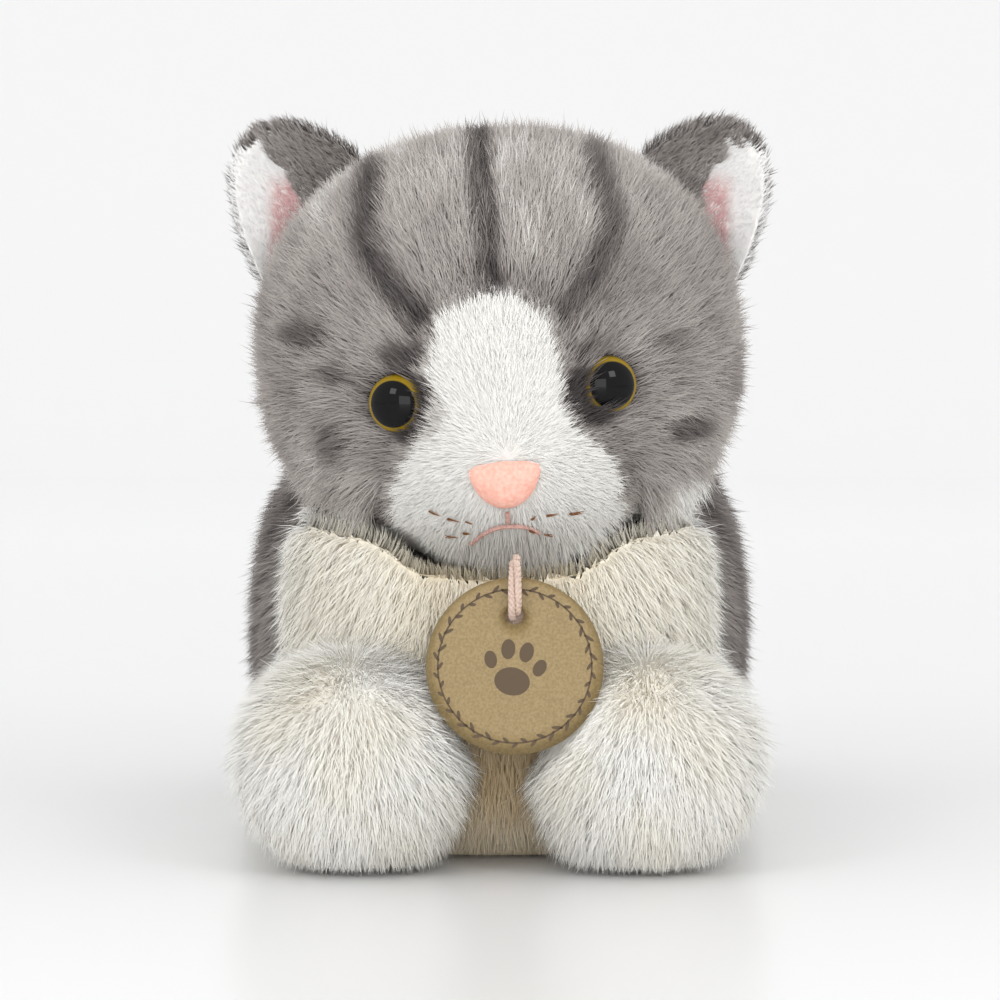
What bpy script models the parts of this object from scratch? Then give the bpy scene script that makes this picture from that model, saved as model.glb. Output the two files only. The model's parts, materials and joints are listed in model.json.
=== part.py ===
"""Plush kitten lying on its belly with its front legs stretched forward and its head tilted.

The kitten faces -Y, its own left side is at +X and it rests on z = 0. Lengths are in metres.
The skins are shells of long-pile plush, drawn to about two thirds of the pile's depth.
Each skin holds a filling. The head, legs, tail, ears and swing tag turn on their own pivots.
"""

from math import acos, cos, exp, pi, radians, sin, sqrt

import bmesh
import bpy
from mathutils import Matrix, Vector

# Clearances and fabric
GAP = 0.0003              # between pieces that touch
WALL = 0.003              # backing and packed pile of a skin
THIN_WALL = 0.0025        # the same on the feet and tail
FILL_GAP = 0.0013         # between a skin and its filling, except in the head

# Head, measured from its centre
HEAD_CENTRE = Vector((0.0, -0.050, 0.134))
HEAD_HALF_WIDTH = 0.063
HEAD_HALF_DEPTH = 0.056
HEAD_HALF_HEIGHT = 0.057
HEAD_SQUARENESS = 2.2
HEAD_TILT = radians(5.0)
MUZZLE_REACH = 0.013
MUZZLE_DROP = radians(31.0)
MUZZLE_SPREAD = radians(21.0)
BLAZE_ANGLE = radians(15.0)
CHIN_ANGLE = radians(80.0)
NAPE_ANGLE = radians(148.0)
HEAD_FILL_GAP = HEAD_HALF_WIDTH / 45.0

# Neck seat: a ball joint about the head's centre
SEAT_CLEARANCE = 0.0022
SEAT_RADIUS = max(HEAD_HALF_WIDTH, HEAD_HALF_DEPTH, HEAD_HALF_HEIGHT) + SEAT_CLEARANCE
SEAT_SLACK = 0.0008         # lets the many-sided ball turn in its seat
CHIN_CLEARANCE = 0.0018
GUSSET_WALL = 0.0026
GUSSET_HALF_ANGLE = radians(33.0)
GUSSET_LEAN = radians(24.0)

# Eyes, nose and mouth
EYE_SPACING = 0.0550
EYE_HEIGHT = -0.010
EYE_RADIUS = 0.0077
EYE_DOME = 0.0050
EYE_TURN = radians(20.0)
EYE_SINK = 0.0002
STEM_RADIUS = 0.0018
STEM_LENGTH = 0.012
WASHER_RADIUS = 0.0065
WASHER_THICKNESS = 0.0016
WASHER_DEPTH = 0.0065
NOSE_WIDTH = 0.0200
NOSE_HEIGHT = 0.0125
NOSE_THICKNESS = 0.0042
NOSE_CENTRE = -0.0330
THREAD_RADIUS = 0.0006

# Ears
EAR_HEIGHT = 0.0230
EAR_INNER_ANGLE = radians(53.0)
EAR_OUTER_ANGLE = radians(15.0)
EAR_LEVEL = radians(5.0)  # undoes the head's tilt, so that the ears sit level
EAR_SPLAY = radians(38.0)
EAR_LIFT = 0.0022
EAR_CUP = 0.0070
EAR_BACK_WALL = 0.0040
EAR_LINING_WALL = 0.0022
EAR_SETBACK = 0.004

# Torso: a loft along Y with a flat underside
CHEST_Y = -0.099
RUMP_Y = 0.100
TORSO_HALF_WIDTH = 0.0496
SHOULDER_EXTRA = 0.0060
TORSO_HEIGHT = 0.110
TORSO_SQUARENESS = 3.5
CHEST_SEAM_Y = -0.050
SIDE_SEAM_ANGLE = radians(-8.0)

# Front legs
PAW_RADIUS = 0.0275
SHOULDER = Vector((0.0385, -0.066, PAW_RADIUS))
SHOULDER_RADIUS = 0.0273
SHOULDER_SPLAY = radians(20.0)
SOCKET_CLEARANCE = 0.0010
FRONT_REACH = 0.130

# Hind legs
HAUNCH_PLANE = TORSO_HALF_WIDTH + 2.0 * GAP
HAUNCH_OUT = 0.0180
HIP = Vector((HAUNCH_PLANE, 0.044, 0.052))
HAUNCH_LENGTH = 0.086
HAUNCH_HEIGHT = 0.096
FOOT_RADIUS = 0.0125
FOOT_TIP_Y = -0.014
FOOT_HEEL_Y = 0.036

# Tail
TAIL_ROOT = Vector((0.0, 0.0985, 0.044))
TAIL_SOCKET_CLEARANCE = 0.0020
TAIL_RADIUS = 0.0105
TAIL_REST = TAIL_RADIUS + GAP
TAIL_ROUTE = (
    tuple(TAIL_ROOT),
    (0.003, 0.108, TAIL_REST + 0.0242),
    (0.011, 0.116, TAIL_REST + 0.0112),
    (0.024, 0.119, TAIL_REST + 0.0022),
    (0.039, 0.117, TAIL_REST),
    (0.052, 0.110, TAIL_REST),
    (0.062, 0.099, TAIL_REST),
)

# Swing tag
TAG_RADIUS = 0.0225
TAG_THICKNESS = 0.0014
TAG_SIDE = 0.004
TAG_HOLE_HEIGHT = 0.0675
TAG_LEAN = radians(10.0)
TAG_CLEARANCE = 0.0010    # in front of the paws that it leans on
CORD_EXIT_HEIGHT = 0.070
TAG_HOLE_RADIUS = 0.0026
TAG_HOLE_INSET = 0.0095
CORD_RADIUS = 0.0016
KNOT_RADIUS = 0.0033

# Inner pouch and trim
POUCH_HALF_SIZE = Vector((0.026, 0.042, 0.011))
POUCH_Y = 0.020
LABEL_SIZE = Vector((0.012, 0.0007, 0.024))


def clear_scene():
    for obj in list(bpy.data.objects):
        bpy.data.objects.remove(obj, do_unlink=True)


def material(name, colour, roughness, metallic=0.0):
    made = bpy.data.materials.new(name)
    made.use_nodes = True
    shader = made.node_tree.nodes["Principled BSDF"]
    shader.inputs["Base Color"].default_value = (*colour, 1.0)
    shader.inputs["Roughness"].default_value = roughness
    shader.inputs["Metallic"].default_value = metallic
    made.diffuse_color = (*colour, 1.0)
    return made


def make_materials():
    return {
        "grey_plush": material("grey_plush", (0.27, 0.25, 0.24), 0.95),
        "white_plush": material("white_plush", (0.86, 0.84, 0.78), 0.95),
        "ear_plush": material("ear_plush", (0.80, 0.72, 0.71), 0.95),
        "filling": material("filling", (0.90, 0.90, 0.90), 1.0),
        "pouch_cloth": material("pouch_cloth", (0.75, 0.73, 0.68), 0.9),
        "eye": material("eye", (0.30, 0.22, 0.03), 0.06),
        "washer": material("washer", (0.85, 0.85, 0.85), 0.45),
        "nose": material("nose", (0.90, 0.55, 0.48), 0.8),
        "thread": material("thread", (0.55, 0.33, 0.28), 0.8),
        "tag": material("tag", (0.32, 0.23, 0.11), 0.6),
        "cord": material("cord", (0.60, 0.45, 0.38), 0.8),
        "label": material("label", (0.90, 0.89, 0.86), 0.6),
    }


# ---------------------------------------------------------------- mesh helpers


def pivot(name, place, turn=(0.0, 0.0, 0.0)):
    empty = bpy.data.objects.new(name, None)
    empty.location = place
    empty.rotation_euler = turn
    empty.empty_display_size = 0.01
    bpy.context.scene.collection.objects.link(empty)
    return empty


def finish_mesh(bm, name, slot, parent, smooth=True):
    """Weld, turn the faces outward and link the solid under the empty it moves with."""
    bmesh.ops.remove_doubles(bm, verts=bm.verts, dist=1e-6)
    bmesh.ops.recalc_face_normals(bm, faces=bm.faces)
    if bm.calc_volume(signed=True) < 0.0:
        bmesh.ops.reverse_faces(bm, faces=bm.faces)
    mesh = bpy.data.meshes.new(name)
    bm.to_mesh(mesh)
    bm.free()
    if smooth:
        mesh.shade_smooth()
        mesh.set_sharp_from_angle(angle=radians(40.0))
    if slot is not None:
        mesh.materials.append(slot)
    obj = bpy.data.objects.new(name, mesh)
    bpy.context.scene.collection.objects.link(obj)
    obj.parent = parent
    return obj


def steps(start, end, count):
    return [start + (end - start) * i / count for i in range(count + 1)]


def patch_solid(point, us, vs, wall, wrap=False):
    """The closed solid between point(u, v, 0) and point(u, v, wall); wrap joins its last v to its first."""
    bm = bmesh.new()
    outer = [[bm.verts.new(point(u, v, 0.0)) for v in vs] for u in us]
    inner = [[bm.verts.new(point(u, v, wall)) for v in vs] for u in us]
    for i in range(len(us) - 1):
        for j in range(len(vs) - 1):
            for grid in (outer, inner):
                bm.faces.new((grid[i][j], grid[i + 1][j], grid[i + 1][j + 1], grid[i][j + 1]))
    for j in range(len(vs) - 1):
        for i in (0, -1):
            bm.faces.new((outer[i][j], outer[i][j + 1], inner[i][j + 1], inner[i][j]))
    if not wrap:
        for i in range(len(us) - 1):
            for j in (0, -1):
                bm.faces.new((outer[i][j], outer[i + 1][j], inner[i + 1][j], inner[i][j]))
    return drop_flat_faces(bm)


def drop_flat_faces(bm):
    """Close up rows that meet in one point, such as a pole."""
    bmesh.ops.remove_doubles(bm, verts=bm.verts, dist=1e-6)
    bmesh.ops.dissolve_degenerate(bm, edges=bm.edges, dist=1e-7)
    doubled = [f for f in bm.faces if f.calc_area() < 1e-13]
    bmesh.ops.delete(bm, geom=doubled, context="FACES")
    return bm


def loft_solid(rings):
    """A closed solid through rings of points, each end filled with one face."""
    bm = bmesh.new()
    rows = [[bm.verts.new(p) for p in ring] for ring in rings]
    count = len(rows[0])
    for near, far in zip(rows, rows[1:]):
        for j in range(count):
            k = (j + 1) % count
            bm.faces.new((near[j], near[k], far[k], far[j]))
    bm.faces.new(rows[0])
    bm.faces.new(rows[-1])
    return bm


def sock_solid(outer, inner):
    """A shell that is closed at its far end and open at its first ring."""
    bm = bmesh.new()
    walls = [[[bm.verts.new(p) for p in ring] for ring in rings] for rings in (outer, inner)]
    count = len(outer[0])
    for rows in walls:
        for near, far in zip(rows, rows[1:]):
            for j in range(count):
                k = (j + 1) % count
                bm.faces.new((near[j], near[k], far[k], far[j]))
        bm.faces.new(rows[-1])
    for j in range(count):
        k = (j + 1) % count
        bm.faces.new((walls[0][0][j], walls[0][0][k], walls[1][0][k], walls[1][0][j]))
    return bm


def ball(radius, centre, segments=32, rings=16, stretch=(1.0, 1.0, 1.0)):
    bm = bmesh.new()
    grow = Matrix.Translation(centre) @ Matrix.Diagonal((*stretch, 1.0))
    bmesh.ops.create_uvsphere(bm, u_segments=segments, v_segments=rings, radius=radius, matrix=grow)
    return bm


def turned(profile, segments):
    """A solid turned about +Z from (radius, height) points that begin and end on the axis."""
    bm = bmesh.new()
    rows = []
    for radius, height in profile:
        ring = [
            bm.verts.new((radius * cos(2 * pi * j / segments), radius * sin(2 * pi * j / segments), height))
            for j in range(segments)
        ]
        rows.append(ring)
    for near, far in zip(rows, rows[1:]):
        for j in range(segments):
            k = (j + 1) % segments
            bm.faces.new((near[j], near[k], far[k], far[j]))
    return drop_flat_faces(bm)


def cutter(bm, name, parent):
    obj = finish_mesh(bm, name, None, parent, smooth=False)
    obj.hide_render = True
    obj.display_type = "WIRE"
    return obj


def cut(obj, tool):
    modifier = obj.modifiers.new(tool.name, "BOOLEAN")
    modifier.operation = "DIFFERENCE"
    modifier.object = tool


def tube(name, points, radius, slot, parent, sides=2):
    curve = bpy.data.curves.new(name, "CURVE")
    curve.dimensions = "3D"
    curve.bevel_depth = radius
    curve.bevel_resolution = sides
    curve.use_fill_caps = True
    spline = curve.splines.new("POLY")
    spline.points.add(len(points) - 1)
    for target, place in zip(spline.points, points):
        target.co = (*place, 1.0)
    curve.materials.append(slot)
    obj = bpy.data.objects.new(name, curve)
    bpy.context.scene.collection.objects.link(obj)
    obj.parent = parent
    return obj


def smooth_route(points, per_span):
    """A Catmull-Rom curve through the points."""
    knots = [Vector(p) for p in points]
    knots = [2 * knots[0] - knots[1], *knots, 2 * knots[-1] - knots[-2]]
    route = []
    for i in range(1, len(knots) - 2):
        a, b, c, d = knots[i - 1:i + 3]
        for step in range(per_span):
            t = step / per_span
            route.append(
                0.5 * (2 * b + (c - a) * t + (2 * a - 5 * b + 4 * c - d) * t * t
                       + (3 * b - a - 3 * c + d) * t ** 3)
            )
    route.append(knots[-2])
    return route


# ---------------------------------------------------------------- head


def head_radius(way):
    """Distance from the head's centre to its surface along a unit vector."""
    parts = (
        abs(way.x) / HEAD_HALF_WIDTH,
        abs(way.y) / HEAD_HALF_DEPTH,
        abs(way.z) / HEAD_HALF_HEIGHT,
    )
    plain = sum(p ** HEAD_SQUARENESS for p in parts) ** (-1.0 / HEAD_SQUARENESS)
    muzzle = Vector((0.0, -cos(MUZZLE_DROP), -sin(MUZZLE_DROP)))
    away = acos(max(-1.0, min(1.0, way.dot(muzzle))))
    return plain + MUZZLE_REACH * exp(-away * away / (2.0 * MUZZLE_SPREAD ** 2))


def head_way(polar, around):
    """Unit vector at an angle from straight ahead; around is 0 at +X and a quarter turn at the crown."""
    return Vector((sin(polar) * cos(around), -cos(polar), sin(polar) * sin(around)))


def white_edge(around):
    """The polar angle where the white blaze and muzzle end."""
    low = ((1.0 - sin(around)) / 2.0) ** 3.44
    return BLAZE_ANGLE + (CHIN_ANGLE - BLAZE_ANGLE) * low


def front_point(x, z, lift=0.0):
    """The point of the face at x and z, raised off it by lift."""
    y = -HEAD_HALF_DEPTH
    for _ in range(20):
        reach = head_radius(Vector((x, y, z)).normalized())
        y = -sqrt(max(reach * reach - x * x - z * z, 1e-6))
    place = Vector((x, y, z))
    return place + place.normalized() * lift


def head_panel(name, slot, parent, around, rows=8, columns=9):
    """One sewn panel of the head between two angles, from the white face back to the nape."""
    seam = GAP / (2.0 * HEAD_HALF_WIDTH)

    def point(u, v, depth):
        first = white_edge(v) + 4.0 * seam
        polar = first + (NAPE_ANGLE - seam - first) * u
        way = head_way(polar, v)
        return way * (head_radius(way) - depth)

    us = steps(0.0, 1.0, rows)
    vs = steps(around[0] + seam * 2.0, around[1] - seam * 2.0, columns)
    return finish_mesh(patch_solid(point, us, vs, WALL), name, slot, parent)


def head_cap(name, slot, parent, edge, behind, columns=30, rows=7):
    """A panel round one end of the head's front-to-back axis: the muzzle, or the nape behind."""

    def point(u, v, depth):
        polar = pi - (pi - edge(v)) * u if behind else edge(v) * u
        way = head_way(polar, v)
        return way * (head_radius(way) - depth)

    bm = patch_cap(point, steps(0.0, 1.0, rows), steps(0.0, 2.0 * pi, columns))
    return finish_mesh(bm, name, slot, parent)


def patch_cap(point, us, vs):
    """A bowl-shaped shell whose first row is its pole."""
    bm = bmesh.new()
    rims = []
    for depth in (0.0, WALL):
        pole = bm.verts.new(point(us[0], vs[0], depth))
        rows = [[bm.verts.new(point(u, v, depth)) for v in vs[:-1]] for u in us[1:]]
        count = len(rows[0])
        for j in range(count):
            k = (j + 1) % count
            bm.faces.new((pole, rows[0][j], rows[0][k]))
            for near, far in zip(rows, rows[1:]):
                bm.faces.new((near[j], near[k], far[k], far[j]))
        rims.append(rows[-1])
    count = len(rims[0])
    for j in range(count):
        k = (j + 1) % count
        bm.faces.new((rims[0][j], rims[0][k], rims[1][k], rims[1][j]))
    return bm


def make_head_skins(slots, head):
    quarter = pi / 2.0
    sector = radians(38.0)
    muzzle = head_cap("muzzle_panel", slots["white_plush"], head, white_edge, behind=False)
    nape = head_cap(
        "nape_panel", slots["grey_plush"], head, lambda v: NAPE_ANGLE, behind=True, columns=20, rows=2
    )
    crown = head_panel(
        "crown_panel", slots["grey_plush"], head, (quarter - sector, quarter + sector)
    )
    right = head_panel(
        "right_cheek_panel", slots["grey_plush"], head,
        (quarter + sector, 3.0 * quarter - sector), columns=11,
    )
    left = head_panel(
        "left_cheek_panel", slots["grey_plush"], head, (sector - quarter, quarter - sector), columns=11
    )
    throat = head_panel(
        "throat_panel", slots["white_plush"], head,
        (3.0 * quarter - sector, 3.0 * quarter + sector), rows=5,
    )
    return {"muzzle": muzzle, "nape": nape, "crown": crown, "left": left, "right": right, "throat": throat}


def make_head_filling(slots, head):
    rows, columns = 12, 24
    bm = bmesh.new()
    rings = []
    for u in steps(0.0, pi, rows)[1:-1]:
        ring = []
        for j in range(columns):
            way = head_way(u, 2.0 * pi * j / columns)
            ring.append(bm.verts.new(way * (head_radius(way) - WALL - HEAD_FILL_GAP)))
        rings.append(ring)
    poles = []
    for way in (Vector((0.0, -1.0, 0.0)), Vector((0.0, 1.0, 0.0))):
        poles.append(bm.verts.new(way * (head_radius(way) - WALL - HEAD_FILL_GAP)))
    for j in range(columns):
        k = (j + 1) % columns
        bm.faces.new((poles[0], rings[0][j], rings[0][k]))
        bm.faces.new((poles[1], rings[-1][k], rings[-1][j]))
        for near, far in zip(rings, rings[1:]):
            bm.faces.new((near[j], far[j], far[k], near[k]))
    return finish_mesh(bm, "head_filling", slots["filling"], head)


def eye_profile(grow):
    """Dome, flat back and stem as (radius, height) points, swollen by grow."""
    radius = EYE_RADIUS + grow
    dome = [(radius * cos(a), EYE_DOME * sin(a) + grow) for a in steps(pi / 2.0, 0.0, 5)]
    dome[0] = (0.0, EYE_DOME + grow)
    back = [
        (radius, -0.0008 - grow),
        (STEM_RADIUS + grow, -0.0008 - grow),
        (STEM_RADIUS + grow, -STEM_LENGTH - grow),
        (0.0, -STEM_LENGTH - grow),
    ]
    return dome + back


def make_eyes(slots, head, skins, filling):
    """Safety eyes: a dome with a stem through the skin, held by a lock washer inside."""
    for name, side in (("left", 1.0), ("right", -1.0)):
        place = front_point(side * EYE_SPACING / 2.0, EYE_HEIGHT, -EYE_SINK)
        turn = Matrix.Rotation(side * EYE_TURN, 4, "Z") @ Matrix.Rotation(pi / 2.0, 4, "X")
        seat = Matrix.Translation(place) @ turn
        eye = turned(eye_profile(0.0), 20)
        eye.transform(seat)
        finish_mesh(eye, f"{name}_eye", slots["eye"], head)

        pocket = turned(eye_profile(GAP), 20)
        pocket.transform(seat)
        pocket_tool = cutter(pocket, f"{name}_eye_pocket", head)
        room = turned(
            [
                (0.0, 0.010),
                (WASHER_RADIUS + GAP, 0.010),
                (WASHER_RADIUS + GAP, -WASHER_DEPTH - WASHER_THICKNESS - GAP),
                (0.0, -WASHER_DEPTH - WASHER_THICKNESS - GAP),
            ],
            16,
        )
        room.transform(seat)
        room_tool = cutter(room, f"{name}_washer_room", head)
        for panel in (skins["muzzle"], skins[name]):
            cut(panel, pocket_tool)
        cut(filling, pocket_tool)
        cut(filling, room_tool)
        make_washer(f"{name}_eye_washer", slots["washer"], head, seat)


def make_washer(name, slot, head, seat):
    bore = STEM_RADIUS + GAP

    def point(u, v, depth):
        radius = bore + (WASHER_RADIUS - bore) * u
        return Vector((radius * cos(v), radius * sin(v), -WASHER_DEPTH - depth))

    bm = patch_solid(point, steps(0.0, 1.0, 1), steps(0.0, 2.0 * pi, 16), WASHER_THICKNESS, wrap=True)
    bm.transform(seat)
    finish_mesh(bm, name, slot, head)


def make_nose(slots, head):
    """A puffed rounded triangle, wide at the top."""

    def point(u, v, depth):
        point_down = 0.5 - 0.5 * sin(v)
        wide = NOSE_WIDTH / 2.0 * (1.0 - 0.42 * point_down ** 1.5)
        x = u * wide * cos(v)
        z = NOSE_CENTRE + u * NOSE_HEIGHT / 2.0 * sin(v)
        lift = GAP if depth else GAP + 0.0008 + (NOSE_THICKNESS - 0.0008) * sqrt(1.0 - u * u)
        return front_point(x, z, lift)

    bm = bmesh.new()
    vs = steps(0.0, 2.0 * pi, 20)[:-1]
    rims = []
    for depth in (0.0, 1.0):
        pole = bm.verts.new(point(0.0, 0.0, depth))
        rows = [[bm.verts.new(point(u, v, depth)) for v in vs] for u in (0.45, 0.80, 1.0)]
        for j in range(len(vs)):
            k = (j + 1) % len(vs)
            bm.faces.new((pole, rows[0][j], rows[0][k]))
            for near, far in zip(rows, rows[1:]):
                bm.faces.new((near[j], near[k], far[k], far[j]))
        rims.append(rows[-1])
    for j in range(len(vs)):
        k = (j + 1) % len(vs)
        bm.faces.new((rims[0][j], rims[0][k], rims[1][k], rims[1][j]))
    finish_mesh(bm, "nose", slots["nose"], head)


def make_mouth(slots, head):
    """One thread: up from the left corner to below the nose's tip and down to the right corner."""
    corners = (
        (-0.0115, -0.0478), (-0.0080, -0.0452), (-0.0045, -0.0438),
        (-0.0010, -0.0436), (0.0030, -0.0442), (0.0062, -0.0462),
    )
    lift = THREAD_RADIUS + 2.0 * GAP
    arms = smooth_route([front_point(x, z, lift) for x, z in corners], 2)
    tube("mouth_thread", arms, THREAD_RADIUS, slots["thread"], head)
    philtrum = [front_point(-0.0014, z, lift) for z in steps(-0.0398, -0.0424, 3)]
    tube("philtrum_thread", philtrum, THREAD_RADIUS, slots["thread"], head)


# ---------------------------------------------------------------- ears


def ear_foot(side, t):
    """A point of the ear's sewn edge, where t runs from -1 at the crown to 1 at the cheek."""
    angle = EAR_INNER_ANGLE + (EAR_OUTER_ANGLE - EAR_INNER_ANGLE) * (t + 1.0) / 2.0 - side * EAR_LEVEL
    way = Vector((cos(angle), 0.0, sin(angle)))
    place = way * (head_radius(way) + EAR_LIFT)
    return Vector((side * place.x, EAR_SETBACK, place.z))


def ear_point(side, s, t):
    """A point of the ear's mid surface: s is 0 at the head and 1 at the rim."""
    height = EAR_HEIGHT * max(0.0, 1.0 - abs(t) ** 2.6) ** 0.9
    splay = EAR_SPLAY + side * EAR_LEVEL
    lean = Vector((side * sin(splay), 0.0, cos(splay)))
    cup = EAR_CUP * (1.0 - t * t) * (1.0 - 0.4 * s)
    return ear_foot(side, t) + lean * (height * s) + Vector((0.0, cup, 0.0))


def make_ear(name, side, slots, head):
    base = (ear_foot(side, -1.0) + ear_foot(side, 1.0)) / 2.0
    hinge = pivot(f"{name}_ear_pivot", base)
    hinge.parent = head
    shift = Matrix.Translation(-base)

    def back(u, v, depth):
        return ear_point(side, u, v) + Vector((0.0, depth, 0.0))

    def lining(u, v, depth):
        forward = -GAP - EAR_LINING_WALL + depth
        return ear_point(side, 0.04 + 0.86 * u, 0.86 * v) + Vector((0.0, forward, 0.0))

    vs = [sin(a) for a in steps(radians(-88.0), radians(88.0), 10)]
    shell = patch_solid(back, steps(0.0, 1.0, 4), vs, EAR_BACK_WALL)
    shell.transform(shift)
    finish_mesh(shell, f"{name}_ear_back", slots["grey_plush"], hinge)
    pad = patch_solid(lining, steps(0.0, 1.0, 4), vs, EAR_LINING_WALL)
    pad.transform(shift)
    finish_mesh(pad, f"{name}_ear_lining", slots["ear_plush"], hinge)


# ---------------------------------------------------------------- torso


def torso_ring(y):
    """Half width, top and squareness of the torso at y."""
    along = (y - CHEST_Y) / (RUMP_Y - CHEST_Y)
    nose = max(0.0, 1.0 - (1.0 - min(along / 0.22, 1.0)) ** 2.6) ** 0.5
    tail = max(0.0, 1.0 - (1.0 - min((1.0 - along) / 0.24, 1.0)) ** 2.4) ** 0.5
    shoulder = exp(-((y - SHOULDER.y + 0.006) / 0.030) ** 2)
    half = (TORSO_HALF_WIDTH + SHOULDER_EXTRA * shoulder) * nose ** 0.7 * tail ** 0.5
    middle = 0.40 * TORSO_HEIGHT
    top = middle + (TORSO_HEIGHT - middle) * nose * tail
    low = middle - 1.16 * middle * (nose * tail) ** 0.6
    return half, top, low


def torso_angles():
    """Angles round the torso, half of them over the back and half under the belly."""
    side = SIDE_SEAM_ANGLE
    return steps(side, pi - side, 12)[:-1] + steps(pi - side, 2.0 * pi + side, 12)[:-1]


def torso_point(y, around, depth):
    """A point of the torso's surface; around is 0 at +X and a quarter turn on the back."""
    half, top, low = torso_ring(y)
    power = 2.0 / TORSO_SQUARENESS
    c, s = cos(around), sin(around)
    x = (half - depth) * abs(c) ** power * (1.0 if c >= 0.0 else -1.0)
    middle = (top + low) / 2.0
    z = middle + ((top - low) / 2.0 - depth) * abs(s) ** power * (1.0 if s >= 0.0 else -1.0)
    return Vector((x, y, max(z, depth)))


def torso_y(y, depth):
    """Pull the ends of an inner layer in by its depth."""
    middle = (CHEST_Y + RUMP_Y) / 2.0
    half = (RUMP_Y - CHEST_Y) / 2.0
    return middle + (y - middle) * (half - depth) / half


def torso_panel(name, slot, parent, ys, around, columns):
    def point(u, v, depth):
        place = torso_point(u, v, depth)
        place.y = torso_y(u, depth)
        return place

    bm = patch_solid(point, ys, steps(around[0], around[1], columns), WALL)
    return finish_mesh(bm, name, slot, parent)


def make_torso(slots, body):
    first, last = CHEST_Y + 0.0012, RUMP_Y - 0.0012
    seam = radians(0.4)
    side = SIDE_SEAM_ANGLE
    chest_rows = [first, first + 0.003, first + 0.010, first + 0.021, first + 0.034,
                  CHEST_SEAM_Y - GAP]
    back_rows = steps(CHEST_SEAM_Y, last - 0.024, 5) + [last - 0.011, last - 0.004, last]
    chest = torso_shell("chest_panel", slots["white_plush"], body, chest_rows)
    back = torso_panel(
        "back_panel", slots["grey_plush"], body, back_rows, (side + seam, pi - side - seam), 12
    )
    belly = torso_panel(
        "belly_panel", slots["white_plush"], body, back_rows, (side - seam, -pi - side + seam), 12
    )
    inside = WALL + FILL_GAP
    rows = [first + 0.0002, *chest_rows[1:-1], *back_rows[:-1], last - 0.0002]
    rings = []
    for y in rows:
        ring = []
        for around in torso_angles():
            place = torso_point(y, around, inside)
            place.y = torso_y(y, inside)
            ring.append(place)
        rings.append(ring)
    filling = finish_mesh(loft_solid(rings), "torso_filling", slots["filling"], body)
    return chest, back, belly, filling


def torso_shell(name, slot, parent, rows):
    """The chest: a bowl closed at the front and open behind."""

    def rings(depth):
        made = []
        for y in rows:
            ring = []
            for around in torso_angles():
                place = torso_point(y, around, depth)
                place.y = torso_y(y, depth) if y < rows[-1] else y
                ring.append(place)
            made.append(ring)
        return made[::-1]

    return finish_mesh(sock_solid(rings(0.0), rings(WALL)), name, slot, parent)


def chin_sweep():
    """The space in front of the seat that the chin and muzzle pass through as the head turns."""
    bm = bmesh.new()
    rows = []
    turns = steps(radians(-200.0), radians(20.0), 20)
    for rise in steps(radians(-89.0), radians(-5.0), 10):
        reach = head_radius(Vector((0.0, -cos(rise), sin(rise)))) + CHIN_CLEARANCE
        reach = max(reach, SEAT_RADIUS + SEAT_SLACK)
        ring = [
            HEAD_CENTRE + Vector((reach * cos(rise) * cos(t), reach * cos(rise) * sin(t), reach * sin(rise)))
            for t in turns
        ]
        for place in ring:
            place.y = min(place.y, CHEST_SEAM_Y)
        rows.append(ring)
    return loft_solid(rows)


def leg_room(side):
    """The space of a front leg and of its swing outward, about its shoulder."""
    radius = SHOULDER_RADIUS + SOCKET_CLEARANCE
    reach = FRONT_REACH + SHOULDER.y
    rings = []
    for a in (radians(-80.0), radians(-52.0), radians(-26.0), 0.0):
        rings.append((radius * sin(a), radius * cos(a), 0.0))
    rings.append((reach, radius, reach * sin(SHOULDER_SPLAY)))
    made = []
    for along, size, spread in rings:
        ring = []
        for turn in steps(0.0, 2.0 * pi, 20)[:-1]:
            x = size * cos(turn) + (spread if cos(turn) > 0.0 else 0.0)
            place = Vector((SHOULDER.x + x, SHOULDER.y - along, SHOULDER.z + size * sin(turn)))
            ring.append(Vector((side * place.x, place.y, place.z)))
        made.append(ring)
    return loft_solid(made)


def cut_torso(chest, back, belly, filling, body):
    """Open the torso for the head's seat, the front legs, the tail's root and the pouch."""
    seat = cutter(ball(SEAT_RADIUS + SEAT_SLACK, HEAD_CENTRE, 30, 14), "head_seat", body)
    chin = cutter(chin_sweep(), "chin_room", body)
    cut(back, seat)
    for obj in (chest, filling):
        cut(obj, seat)
        cut(obj, chin)
    for name, side in (("left", 1.0), ("right", -1.0)):
        tool = cutter(leg_room(side), f"{name}_leg_room", body)
        for obj in (chest, back, belly, filling):
            cut(obj, tool)
    socket = cutter(ball(TAIL_RADIUS + TAIL_SOCKET_CLEARANCE, TAIL_ROOT, 14, 8), "tail_socket", body)
    for obj in (back, belly, filling):
        cut(obj, socket)
    room = POUCH_HALF_SIZE + Vector((GAP, GAP, GAP))
    bm = bmesh.new()
    place = Matrix.Translation((0.0, POUCH_Y, room.z))
    size = Matrix.Diagonal((2.0 * room.x, 2.0 * room.y, 2.0 * room.z + 2.0 * WALL, 1.0))
    bmesh.ops.create_cube(bm, size=1.0, matrix=place @ size)
    cut(filling, cutter(bm, "pouch_room", body))


def make_pouch(slots, body):
    """The bag of pellets on the floor of the torso."""
    rest = WALL + GAP
    middle = rest + POUCH_HALF_SIZE.z * 0.9
    bm = bmesh.new()
    half = POUCH_HALF_SIZE
    size = Matrix.Diagonal((2.0 * half.x, 2.0 * half.y, 1.8 * half.z, 1.0))
    bmesh.ops.create_cube(bm, size=1.0, matrix=Matrix.Translation((0.0, POUCH_Y, middle)) @ size)
    bmesh.ops.bevel(
        bm, geom=bm.edges[:], offset=0.0085, segments=2, profile=0.5, affect="EDGES"
    )
    finish_mesh(bm, "pellet_pouch", slots["pouch_cloth"], body)


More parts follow.
